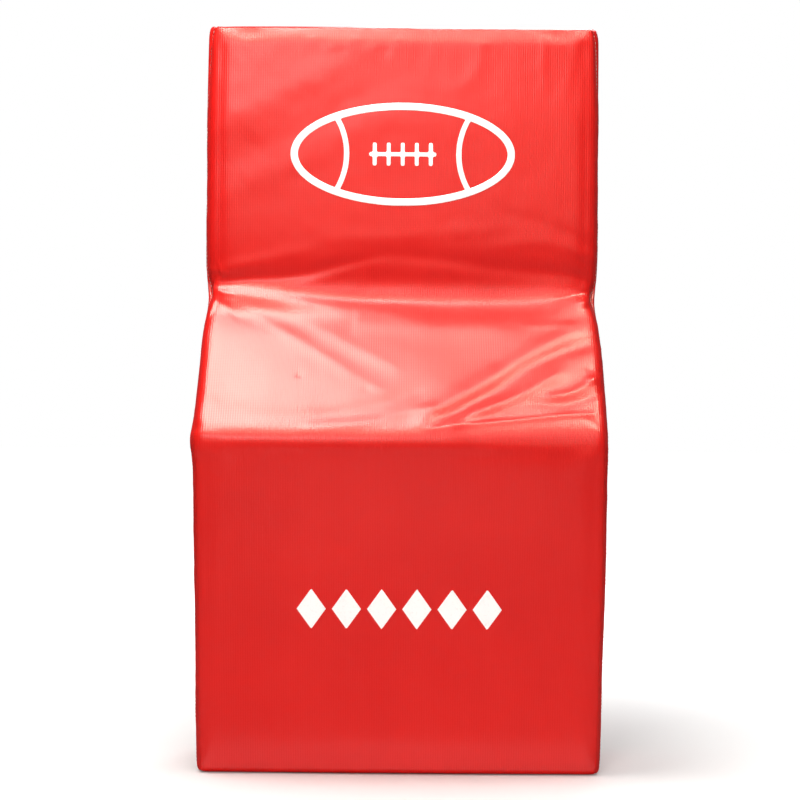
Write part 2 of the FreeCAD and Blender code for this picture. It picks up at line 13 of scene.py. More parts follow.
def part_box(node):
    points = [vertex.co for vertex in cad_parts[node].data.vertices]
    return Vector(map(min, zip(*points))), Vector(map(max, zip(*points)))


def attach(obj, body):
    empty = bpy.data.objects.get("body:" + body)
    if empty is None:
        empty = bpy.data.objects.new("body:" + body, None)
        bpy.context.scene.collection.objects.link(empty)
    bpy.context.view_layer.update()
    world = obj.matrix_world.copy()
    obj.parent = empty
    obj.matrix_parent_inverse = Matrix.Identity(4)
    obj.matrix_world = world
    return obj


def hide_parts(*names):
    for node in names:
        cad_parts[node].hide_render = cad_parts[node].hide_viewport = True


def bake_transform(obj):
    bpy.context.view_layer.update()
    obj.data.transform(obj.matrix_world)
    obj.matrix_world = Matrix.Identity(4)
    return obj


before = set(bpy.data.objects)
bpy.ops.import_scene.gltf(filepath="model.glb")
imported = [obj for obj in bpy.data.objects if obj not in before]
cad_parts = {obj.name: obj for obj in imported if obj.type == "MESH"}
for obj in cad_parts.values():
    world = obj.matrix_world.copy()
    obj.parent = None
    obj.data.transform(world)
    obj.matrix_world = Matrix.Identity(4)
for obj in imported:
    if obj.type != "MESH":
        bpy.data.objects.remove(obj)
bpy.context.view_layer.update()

MM = 0.001
random.seed(11)

# ---- The object's sizes, in metres ---------------------------------------------------------------
# Those the frame doesn't give are the model's own driving dimensions.
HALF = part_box("front_panel")[1].x
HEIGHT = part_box("front_panel")[1].z
BACK_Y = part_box("back_panel_upper")[1].y
BASE_FRONT_Y = BACK_Y - 180 * MM
RIDGE_Y = BACK_Y - 247 * MM
UPPER_FRONT_Y = BACK_Y - 112 * MM
RIDGE_Z = 407 * MM
CREASE_Z = 572 * MM
RIDGE_BLEND = 18 * MM       # half the height over which the ridge rounds
RIDGE_DROP = 5 * MM         # how far the stuffed cloth hangs below the ridge's line
CREASE_BLEND = 20 * MM      # half the height over which the crease rounds
FRONT_RADIUS = 13 * MM      # upright edges, seen from above
BACK_RADIUS = 7 * MM
BASE_RADIUS = 7 * MM
TOP_RADIUS = 8 * MM
TOP_CROWN = 6.0 * MM        # how far the stuffing lifts the top
SEAM_SETBACK = 14 * MM      # how far round the front edges the face panel wraps
CLOTH = 1.0 * MM            # its thickness

WINDOW_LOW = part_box("back_panel_lower")[1].z
WINDOW_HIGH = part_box("back_panel_upper")[0].z
ZIP_Z = (WINDOW_LOW + WINDOW_HIGH) / 2
VENT_Y = 40 * MM            # where the vents are on the side gussets
VENT_HEIGHTS = (190 * MM, 710 * MM)


# ---- Small helpers -------------------------------------------------------------------------------
def smoothstep(low, high, x):
    t = np.clip((x - low) / (high - low), 0.0, 1.0)
    return t * t * (3 - 2 * t)


def in_scene(name, data):
    """A new object in the scene, with its place in its data."""
    made = bpy.data.objects.new(name, data)
    bpy.context.scene.collection.objects.link(made)
    return made


def new_piece(name, verts, faces, materials=(), smooth=True):
    """A mesh object in the scene, in the frame's own coordinates."""
    mesh = bpy.data.meshes.new(name)
    mesh.from_pydata([tuple(v) for v in verts], [], [tuple(f) for f in faces])
    mesh.validate()
    mesh.polygons.foreach_set("use_smooth", [smooth] * len(mesh.polygons))
    for material in materials:
        mesh.materials.append(material)
    return in_scene(name, mesh)


def piece_from(name, made):
    """A mesh object from a bmesh, which is freed."""
    mesh = bpy.data.meshes.new(name)
    made.to_mesh(mesh)
    made.free()
    return in_scene(name, mesh)


def tidy_normals(piece):
    """Turns every face of a piece outwards."""
    made = bmesh.new()
    made.from_mesh(piece.data)
    bmesh.ops.recalc_face_normals(made, faces=made.faces)
    made.to_mesh(piece.data)
    made.free()
    return piece


def turns(steps):
    """The cosine and the sine of each of a number of even steps round a circle."""
    return [(math.cos(2 * math.pi * k / steps), math.sin(2 * math.pi * k / steps)) for k in range(steps)]


def tube_faces(rings, around, closed=False):
    """The faces of a tube of rings, with a cap at each end unless its ends meet."""
    faces = []
    for i in range(rings if closed else rings - 1):
        near, far = i * around, (i + 1) % rings * around
        for k in range(around):
            m = (k + 1) % around
            faces.append([near + k, near + m, far + m, far + k])
    if not closed:
        last = (rings - 1) * around
        faces += [list(range(around - 1, -1, -1)), list(range(last, last + around))]
    return faces


def vertex_values(mesh, key):
    found = np.empty(len(mesh.vertices) * 3)
    mesh.vertices.foreach_get(key, found)
    return found.reshape(-1, 3)


def coordinates(mesh):
    return vertex_values(mesh, "co")


def normals(mesh):
    return vertex_values(mesh, "normal")


def set_coordinates(mesh, points):
    mesh.vertices.foreach_set("co", np.asarray(points, float).ravel())
    mesh.update()


def finish_piece(piece, body, slot, *nodes):
    """Rides the piece on its body and hides the frame's parts that it stands for. The slot is not used."""
    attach(piece, body)
    if nodes:
        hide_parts(*nodes)
    return piece


def bake_modifiers(piece):
    """Replaces the piece's mesh by what its modifiers make of it."""
    depsgraph = bpy.context.evaluated_depsgraph_get()
    made = bpy.data.meshes.new_from_object(piece.evaluated_get(depsgraph))
    piece.modifiers.clear()
    old = piece.data
    piece.data = made
    bpy.data.meshes.remove(old)
    return piece


# ---- Materials -----------------------------------------------------------------------------------
class Nodes:
    """A material's node tree, with short ways to add and join nodes."""

    def __init__(self, name):
        self.material = bpy.data.materials.new(name)
        self.material.use_nodes = True
        self.tree = self.material.node_tree
        self.shader = self.tree.nodes["Principled BSDF"]

    def add(self, kind, **inputs):
        node = self.tree.nodes.new(kind)
        for key, value in inputs.items():
            node.inputs[key.replace("_", " ")].default_value = value
        return node

    def join(self, output, target):
        self.tree.links.new(output, target)

    def set(self, **values):
        for key, value in values.items():
            self.shader.inputs[key.replace("_", " ")].default_value = value

    def finish(self, colour, roughness, normal):
        """Joins the shader's colour, roughness and normal, and gives the material."""
        for socket, output in (("Base Color", colour), ("Roughness", roughness), ("Normal", normal)):
            self.join(output, self.shader.inputs[socket])
        return self.material

    def maths(self, operation, first, second=None, third=None):
        node = self.tree.nodes.new("ShaderNodeMath")
        node.operation = operation
        for socket, value in zip(node.inputs, (first, second, third)):
            if value is None:
                continue
            if isinstance(value, (int, float)):
                socket.default_value = value
            else:
                self.join(value, socket)
        return node.outputs[0]

    def noise(self, coords, scale, detail=2.0, roughness=0.5):
        node = self.add("ShaderNodeTexNoise", Scale=scale, Detail=detail, Roughness=roughness)
        self.join(coords, node.inputs["Vector"])
        return node.outputs["Fac"]

    def ramp(self, value, stops):
        node = self.tree.nodes.new("ShaderNodeValToRGB")
        ramp = node.color_ramp
        while len(ramp.elements) < len(stops):
            ramp.elements.new(0.5)
        for element, (place, colour) in zip(ramp.elements, stops):
            element.position = place
            element.color = (*colour, 1.0)
        self.join(value, node.inputs["Fac"])
        return node.outputs["Color"]

    def levels(self, value, low, high):
        """The value, from 0 to 1, mapped to the range from low to high."""
        node = self.add("ShaderNodeMapRange", To_Min=low, To_Max=high)
        self.join(value, node.inputs["Value"])
        return node.outputs["Result"]

    def bump(self, height, distance, strength=1.0, under=None):
        node = self.add("ShaderNodeBump", Strength=strength, Distance=distance)
        self.join(height, node.inputs["Height"])
        if under is not None:
            self.join(under, node.inputs["Normal"])
        return node.outputs["Normal"]

    def waves(self, coordinate, pitch):
        """A wave from 0 to 1 along one coordinate, with one crest for each pitch."""
        angle = self.maths("MULTIPLY", coordinate, 2 * math.pi / pitch)
        return self.maths("MULTIPLY_ADD", self.maths("SINE", angle), 0.5, 0.5)

    def place(self):
        """The object coordinates, whole and as X, Y and Z."""
        coords = self.tree.nodes.new("ShaderNodeTexCoord").outputs["Object"]
        split = self.tree.nodes.new("ShaderNodeSeparateXYZ")
        self.join(coords, split.inputs[0])
        return coords, split.outputs

    def map(self):
        """The UV coordinates, in metres, whole and as across and along."""
        coords = self.tree.nodes.new("ShaderNodeUVMap").outputs["UV"]
        split = self.tree.nodes.new("ShaderNodeSeparateXYZ")
        self.join(coords, split.inputs[0])
        return coords, split.outputs


RIB_PITCH = 2.8 * MM
PICK_PITCH = 1.9 * MM


def vinyl(name, across, along):
    """Coated cloth: red film over a scrim whose ribs show through. Across and along are 0, 1 or 2."""
    m = Nodes(name)
    coords, axes = m.place()
    patches = m.noise(coords, 7.0, 3.0)
    colour = m.ramp(patches, [(0.3, (0.64, 0.0058, 0.0040)), (0.7, (0.70, 0.0082, 0.0052))])
    scuffs = m.noise(coords, 30.0, 3.0, 0.5)
    m.set(IOR=1.40, Coat_Weight=0.06, Coat_Roughness=0.2)

    warp = m.noise(coords, 28.0, 2.0)
    drift = m.maths("MULTIPLY", warp, 1.2 * MM)
    ribs = m.waves(m.maths("ADD", axes[across], drift), RIB_PITCH)
    picks = m.waves(m.maths("ADD", axes[along], drift), PICK_PITCH)
    crossing = m.maths("MULTIPLY_ADD", picks, 0.25, ribs)
    orange_peel = m.noise(coords, 260.0, 2.0)
    height = m.maths("MULTIPLY_ADD", orange_peel, 0.5, crossing)
    slack = m.noise(coords, 13.0, 3.0, 0.45)
    broad = m.bump(slack, 0.45 * MM)
    return m.finish(colour, m.levels(scuffs, 0.29, 0.36), m.bump(height, 0.09 * MM, 1.0, broad))


def print_film():
    """White transfer film, thin enough for the scrim to show through."""
    m = Nodes("white_print_film")
    coords, axes = m.place()
    flecks = m.noise(coords, 420.0, 4.0)
    colour = m.ramp(flecks, [(0.25, (0.88, 0.86, 0.85)), (0.45, (0.96, 0.955, 0.95))])
    ribs = m.maths("ADD", m.waves(axes[0], RIB_PITCH), m.waves(axes[2], PICK_PITCH))
    return m.finish(colour, m.levels(m.noise(coords, 90.0, 3.0), 0.38, 0.52), m.bump(ribs, 0.02 * MM))


def woven(name, dark, light, across_pitch, along_pitch, relief):
    """Webbing or tape: a twill of yarns that crosses the strip on the slant."""
    m = Nodes(name)
    coords, (u, v, _) = m.map()
    slant = m.maths("ADD", m.maths("MULTIPLY", u, 1 / across_pitch), m.maths("MULTIPLY", v, 1 / along_pitch))
    rows = m.waves(slant, 1.0)
    ends = m.waves(u, across_pitch)
    height = m.maths("MULTIPLY_ADD", rows, 0.7, ends)
    fuzz = m.noise(coords, 900.0, 3.0)
    height = m.maths("MULTIPLY_ADD", fuzz, 0.5, height)
    # The colour is darker where the yarns lie low: painted shade in the weave's hollows, mixed with tone that
    # differs at random.
    painted_shade_and_tone = m.maths("MULTIPLY_ADD", m.noise(coords, 40.0, 3.0), 0.5, m.maths("MULTIPLY", height, 0.3))
    m.set(Sheen_Weight=0.25, Sheen_Roughness=0.5)
    return m.finish(m.ramp(painted_shade_and_tone, [(0.2, dark), (0.8, light)]), m.levels(fuzz, 0.6, 0.85),
                    m.bump(height, relief))


def knit():
    """The sleeves' brushed knit."""
    m = Nodes("sleeve_knit")
    coords, (u, v, _) = m.map()
    cells = m.maths("MULTIPLY", m.waves(u, 1.5 * MM), m.waves(v, 1.2 * MM))
    nap = m.noise(coords, 1100.0, 4.0)
    height = m.maths("MULTIPLY_ADD", nap, 0.8, cells)
    colour = m.ramp(m.noise(coords, 60.0, 4.0), [(0.3, (0.012, 0.012, 0.014)), (0.7, (0.03, 0.03, 0.034))])
    m.set(Sheen_Weight=0.4, Sheen_Roughness=0.4)
    return m.finish(colour, m.levels(nap, 0.75, 0.95), m.bump(height, 0.15 * MM))


def rubber(name):
    """Matt moulded rubber with a fine spark texture."""
    m = Nodes(name)
    coords, _ = m.place()
    grain = m.noise(coords, 1400.0, 3.0)
    colour = m.ramp(m.noise(coords, 30.0, 3.0), [(0.3, (0.011, 0.011, 0.011)), (0.75, (0.028, 0.028, 0.028))])
    return m.finish(colour, m.levels(grain, 0.5, 0.72), m.bump(grain, 0.06 * MM))


def moulded(name, dark, light):
    """Moulded plastic with a slight mottle."""
    m = Nodes(name)
    coords, _ = m.place()
    mottle = m.noise(coords, 500.0, 3.0)
    return m.finish(m.ramp(mottle, [(0.3, dark), (0.7, light)]), m.levels(mottle, 0.32, 0.5),
                    m.bump(mottle, 0.02 * MM))


def plated(name, colour):
    """Plated metal: fine brushing, with duller wear in patches."""
    m = Nodes(name)
    coords, _ = m.place()
    wear = m.noise(coords, 350.0, 5.0, 0.6)
    dull = tuple(0.72 * c for c in colour)
    m.set(Metallic=1.0)
    return m.finish(m.ramp(wear, [(0.35, colour), (0.75, dull)]), m.levels(wear, 0.24, 0.48),
                    m.bump(m.noise(coords, 2500.0, 2.0), 0.01 * MM))


def foam(name, dark, light, cell):
    """Cut foam: cells as small pits."""
    m = Nodes(name)
    coords, _ = m.place()
    cells = m.add("ShaderNodeTexVoronoi", Scale=1 / cell)
    m.join(coords, cells.inputs["Vector"])
    from_middle = cells.outputs["Distance"]
    return m.finish(m.ramp(m.noise(coords, 12.0, 4.0), [(0.3, dark), (0.7, light)]),
                    m.levels(from_middle, 0.85, 1.0), m.bump(from_middle, cell / 3))


def thread(name, dark, light):
    """Sewing thread with a twist."""
    m = Nodes(name)
    coords, (x, y, z) = m.place()
    twist = m.waves(m.maths("ADD", m.maths("ADD", x, y), z), 0.5 * MM)
    return m.finish(m.ramp(m.noise(coords, 120.0, 2.0), [(0.3, dark), (0.7, light)]),
                    m.levels(twist, 0.45, 0.7), m.bump(twist, 0.08 * MM))


VINYL_FACE = vinyl("red_vinyl_face", 0, 2)
VINYL_SIDE = vinyl("red_vinyl_side", 1, 2)
VINYL_LEVEL = vinyl("red_vinyl_level", 0, 1)
PRINT = print_film()
WEBBING = woven("black_webbing", (0.008, 0.008, 0.009), (0.03, 0.03, 0.033),
                2.2 * MM, 1.6 * MM, 0.25 * MM)
ZIP_TAPE = woven("zip_tape_weave", (0.006, 0.006, 0.007), (0.022, 0.022, 0.024),
                 0.9 * MM, 0.7 * MM, 0.08 * MM)
KNIT = knit()
GRIP_RUBBER = rubber("grip_rubber")
ZIP_PLASTIC = moulded("zip_plastic", (0.008, 0.008, 0.009), (0.022, 0.022, 0.024))
ZIP_METAL = plated("zip_nickel", (0.62, 0.61, 0.59))
EYELET_METAL = plated("eyelet_nickel", (0.66, 0.64, 0.60))
FOAM = foam("core_foam", (0.66, 0.62, 0.48), (0.76, 0.73, 0.60), 1.1 * MM)
SOFT_FOAM = foam("face_foam", (0.74, 0.72, 0.64), (0.84, 0.83, 0.76), 0.9 * MM)
DENSE_FOAM = foam("back_foam", (0.05, 0.052, 0.056), (0.09, 0.092, 0.10), 0.6 * MM)
RED_THREAD = thread("red_thread", (0.42, 0.02, 0.018), (0.56, 0.035, 0.03))
# The face's side seams take a pale thread whose colour is a painted glint, the highlight that catches these
# stitches, not the thread's own colour.
GLINT_PAINTED_THREAD = thread("glint_painted_thread", (0.62, 0.40, 0.37), (0.74, 0.55, 0.50))
BLACK_THREAD = thread("black_thread", (0.02, 0.02, 0.022), (0.06, 0.06, 0.065))


# ---- The cover's shape before it is sewn and stuffed ---------------------------------------------
def face_y(z):
    """The face's depth at height z, with the ridge and the crease rounded."""
    z = np.asarray(z, float)
    slope = (UPPER_FRONT_Y - RIDGE_Y) / (CREASE_Z - RIDGE_Z)
    ridge_z = RIDGE_Z - RIDGE_DROP
    lower = (RIDGE_Y - slope * RIDGE_DROP - BASE_FRONT_Y) / ridge_z

    def bend(at, half, change):
        """What a rounded corner adds to a straight line: nothing before it, change times z after."""
        t = np.clip(z - (at - half), 0, 2 * half)
        return change * (t * t / (4 * half) + np.maximum(z - (at + half), 0))

    ridge = bend(ridge_z, RIDGE_BLEND, slope - lower)
    crease = bend(CREASE_Z, CREASE_BLEND, -slope)
    return BASE_FRONT_Y + lower * z + ridge + crease


def face_slope(z):
    step = 0.5 * MM
    return (face_y(z + step) - face_y(z - step)) / (2 * step)


def edge_inset(z):
    """How far the outline draws in where the base's or the top's edge rounds off."""
    inset = 0.0
    for radius, distance in ((BASE_RADIUS, z), (TOP_RADIUS, HEIGHT - z)):
        if distance < radius:
            inset = radius - math.sqrt(radius ** 2 - (radius - distance) ** 2)
    return inset


def rounded_side(distance, length, r0, r1):
    """A point on a side that runs between two rounded corners, from the middle of one corner's arc
    to the middle of the next: (how far along, how far in)."""
    first = math.pi / 4 * r0
    straight = length - r0 - r1
    if distance < first:
        angle = math.pi / 4 - distance / r0
        return r0 - r0 * math.sin(angle), r0 - r0 * math.cos(angle)
    if distance > first + straight:
        angle = (distance - first - straight) / r1
        return length - r1 + r1 * math.sin(angle), r1 - r1 * math.cos(angle)
    return r0 + distance - first, 0.0


def graded(half, first, growth, largest):
    """Marks from 0 to twice half, close together at both ends and wider in the middle."""
    steps = [first]
    while sum(steps) < half:
        steps.append(min(steps[-1] * growth, largest))
    marks = np.concatenate([[0.0], np.cumsum(steps)])
    marks = marks * half / marks[-1]
    return np.concatenate([marks, (2 * half - marks[:-1])[::-1]])


def spaced(start, end, step):
    """Even marks from start up to, but not including, end."""
    count = max(1, round((end - start) / step))
    return [start + (end - start) * k / count for k in range(count)]


FACE_MARKS = graded(0.5, 0.0085, 1.22, 0.034)      # shares of the side's length
GUSSET_CELLS = 10


def cover_rows():
    """Heights of the cover's level rings, closest where it bends or folds."""
    low = [0.0, 2.5 * MM, 8 * MM, 17 * MM, 30 * MM, 44 * MM, 58 * MM]
    zip_rows = [WINDOW_LOW, ZIP_Z, WINDOW_HIGH]
    rows = low + zip_rows + spaced(WINDOW_HIGH + 16 * MM, RIDGE_Z - 34 * MM, 22 * MM)
    rows += spaced(RIDGE_Z - 34 * MM, RIDGE_Z + 26 * MM, 7.5 * MM)
    rows += spaced(RIDGE_Z + 26 * MM, CREASE_Z + 55 * MM, 8.8 * MM)
    rows += spaced(CREASE_Z + 55 * MM, HEIGHT - 36 * MM, 19 * MM)
    return rows + [HEIGHT - d * MM for d in (36, 23, 13, 6, 2, 0)]


def ring(z):
    """The cover's outline at height z: its front, right, back and left sides, corner to corner."""
    inset = edge_inset(z)
    front, back, side = float(face_y(z)) + inset, BACK_Y - inset, HALF - inset
    r_front, r_back = max(FRONT_RADIUS - inset, 0.8 * MM), max(BACK_RADIUS - inset, 0.8 * MM)

    def level_side(radius):
        path = 2 * side - 2 * radius + math.pi / 2 * radius
        return [rounded_side(mark * path, 2 * side, radius, radius) for mark in FACE_MARKS]

    face = [(along - side, front + inwards) for along, inwards in level_side(r_front)]
    rear = [(side - along, back - inwards) for along, inwards in level_side(r_back)]

    depth = back - front
    first, last = math.pi / 4 * r_front, math.pi / 4 * r_back
    total = depth - r_front - r_back + first + last
    seam = SEAM_SETBACK * math.sqrt(1 + float(face_slope(z)) ** 2) - r_front - inset + first
    marks = [0.0, first, seam]
    marks += [seam + (total - last - seam) * k / GUSSET_CELLS for k in range(1, GUSSET_CELLS + 1)]
    marks.append(total)
    right = []
    for mark in marks:
        along, inwards = rounded_side(mark, depth, r_front, r_back)
        right.append((side - inwards, front + along))
    left = [(-x, y) for x, y in right[::-1]]
    return face, right, rear, left


PANELS = ("front_panel", "side_gusset_left", "side_gusset_right", "top_gusset", "base_gusset",
          "back_panel_lower", "back_panel_upper", "zip_window")
SEAM_CELL = 2               # cells of a side that belong to the face panel
UNDER_PATCH = 2             # cells at each end of the zip's window that its end patches cover


def side_panel(side, cell, z):
    """Which panel a cell of the cover's wall belongs to."""
    if side == "front":
        return "front_panel"
    if side == "back":
        if z < WINDOW_LOW:
            return "back_panel_lower"
        at_end = not UNDER_PATCH <= cell < len(FACE_MARKS) - 1 - UNDER_PATCH
        return "back_panel_upper" if z > WINDOW_HIGH or at_end else "zip_window"
    from_face = cell if side == "right" else GUSSET_CELLS + 2 - cell
    return "front_panel" if from_face < SEAM_CELL else f"side_gusset_{side}"


def flat_cover():
    """The closed cover as a coarse grid, with each face's panel as its material index."""
    verts, faces, panels = [], [], []
    rows = cover_rows()
    for z in rows:
        for side in ring(z):
            verts += [(x, y, z) for x, y in side[:-1]]
    across, deep = len(FACE_MARKS) - 1, GUSSET_CELLS + 3
    around = 2 * (across + deep)
    cells = [("front", k) for k in range(across)] + [("right", k) for k in range(deep)]
    cells += [("back", k) for k in range(across)] + [("left", k) for k in range(deep)]
    for i in range(len(rows) - 1):
        middle = (rows[i] + rows[i + 1]) / 2
        for k, (side, cell) in enumerate(cells):
            a, b = i * around + k, i * around + (k + 1) % around
            faces.append((a, b, b + around, a + around))
            panels.append(side_panel(side, cell, middle))

    for row, panel in ((0, "base_gusset"), (len(rows) - 1, "top_gusset")):
        start = row * around
        grid = {}
        for i in range(across + 1):
            grid[i, 0] = start + i
            grid[i, deep] = start + across + deep + (across - i)
        for j in range(deep + 1):
            grid[across, j] = start + across + j
            grid[0, j] = start + (around - j) % around
        for i in range(1, across):
            for j in range(1, deep):
                near, far = Vector(verts[grid[i, 0]]), Vector(verts[grid[i, deep]])
                one, other = Vector(verts[grid[0, j]]), Vector(verts[grid[across, j]])
                y = one.y + (other.y - one.y) * i / across
                x = near.x + (far.x - near.x) * j / deep
                grid[i, j] = len(verts)
                verts.append((x, y, rows[row]))
        for i in range(across):
            for j in range(deep):
                quad = (grid[i, j], grid[i + 1, j], grid[i + 1, j + 1], grid[i, j + 1])
                faces.append(quad if row else quad[::-1])
                panels.append("front_panel" if j < SEAM_CELL else panel)

    cover = new_piece("cover_work", verts, faces)
    cover.data.polygons.foreach_set("material_index", [PANELS.index(p) for p in panels])
    for _ in PANELS:
        cover.data.materials.append(None)
    return cover


def seam_vertices(mesh):
    """The vertices where two panels meet."""
    owners = [set() for _ in mesh.vertices]
    for polygon in mesh.polygons:
        for v in polygon.vertices:
            owners[v].add(polygon.material_index)
    return [v for v, found in enumerate(owners) if len(found) > 1]


# ---- Stuffing: the cover swells over its foam as cloth -------------------------------------------
# How far the cloth may swell beyond its cut shape.
FACE_SWELL = 2.0 * MM
SLOPE_SWELL = 0.7 * MM
GUSSET_SWELL = 3.0 * MM
BACK_SWELL = 1.2 * MM

# Where it is held flat.
PATCH_HOLD = 12 * MM        # this far beyond a patch
PATCH_SIZE = (84 * MM, 100 * MM)
ZIP_HOLD_Z = 105 * MM       # below this height at the back
VENT_HOLD = 18 * MM         # this far from a vent's middle
SIMULATION_STEPS = 20


def near_box(point, box, margin):
    """Whether a point is near a box, seen from behind."""
    low, high = box
    return all(low[k] - margin <= point[k] <= high[k] + margin for k in (0, 2))


def held_still(mesh):
    """Vertices that sewing or the floor holds: seams, the base, the zip, patches and eyelets."""
    held = set(seam_vertices(mesh))
    strap_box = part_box("arm_strap_patches")
    handle_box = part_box("carry_handle_patches")
    for v in mesh.vertices:
        x, y, z = v.co
        at_back = y > BACK_Y - 3 * MM
        patched = near_box(v.co, handle_box, PATCH_HOLD)
        in_line = strap_box[1].x - PATCH_SIZE[0] <= abs(x) <= strap_box[1].x
        if in_line and (z > strap_box[1].z - PATCH_SIZE[1] or z < strap_box[0].z + PATCH_SIZE[1]):
            patched = patched or near_box(v.co, strap_box, PATCH_HOLD)
        vents = abs(x) > HALF - 3 * MM and abs(y - VENT_Y) < VENT_HOLD
        vents = vents and min(abs(z - height) for height in VENT_HEIGHTS) < VENT_HOLD
        if z < 1 * MM or (at_back and (z < ZIP_HOLD_Z or patched)) or vents:
            held.add(v.index)
    return sorted(held)


def stuff(cover):
    """Runs the cloth simulation, with pressure for the foam's push, and limits each vertex's travel."""
    mesh = cover.data
    rest = coordinates(mesh)
    group = cover.vertex_groups.new(name="sewn")
    group.add(held_still(mesh), 1.0, "REPLACE")
    cloth = cover.modifiers.new("stuffing", "CLOTH")
    for key, value in (
            ("quality", 6), ("mass", 0.3), ("tension_stiffness", 12), ("compression_stiffness", 12),
            ("shear_stiffness", 6), ("bending_stiffness", 0.6), ("use_pressure", True),
            ("uniform_pressure_force", 4.0), ("vertex_group_mass", "sewn")):
        setattr(cloth.settings, key, value)
    cloth.settings.effector_weights.gravity = 0
    scene = bpy.context.scene
    for step in range(1, SIMULATION_STEPS + 1):
        scene.frame_set(step)
    depsgraph = bpy.context.evaluated_depsgraph_get()
    evaluated = cover.evaluated_get(depsgraph)
    swollen = coordinates(evaluated.data)
    cover.modifiers.clear()
    cover.vertex_groups.clear()
    scene.frame_set(1)

    outwards = normals(mesh)
    swell = np.maximum(((swollen - rest) * outwards).sum(axis=1), 0.0)
    limit = np.full(len(rest), FACE_SWELL)
    limit[(rest[:, 2] > RIDGE_Z) & (rest[:, 2] < CREASE_Z)] = SLOPE_SWELL
    limit[np.abs(rest[:, 0]) > HALF - 1 * MM] = GUSSET_SWELL
    limit[rest[:, 1] > BACK_Y - 1 * MM] = BACK_SWELL
    swollen = rest + outwards * (limit * np.tanh(swell / limit))[:, None]
    swollen[:, 2] += TOP_CROWN * smoothstep(HEIGHT - 90 * MM, HEIGHT, rest[:, 2])
    set_coordinates(mesh, swollen)


# ---- Folds, laid out one by one ------------------------------------------------------------------
# A route's points are (u, v). u runs from -1 at the left edge to 1 at the right. v is 0 at the
# crease, 1 at the ridge and negative above the crease, in steps of the sloping face's height.
# Heights, widths, radii and depths are in millimetres. Start and end are the fold's share of its
# height at its route's two ends, and a dent's depth is negative where the cloth stands proud.
FOLD_SCALE = 0.60           # the share of each fold's written height that is used
WAIST_PINCH = 4.0 * MM      # how far the crease draws each side in
Fold = namedtuple("Fold", "route height width start end crisp", defaults=(1.0, 1.0, 0.0))
Dent = namedtuple("Dent", "u v radius depth")

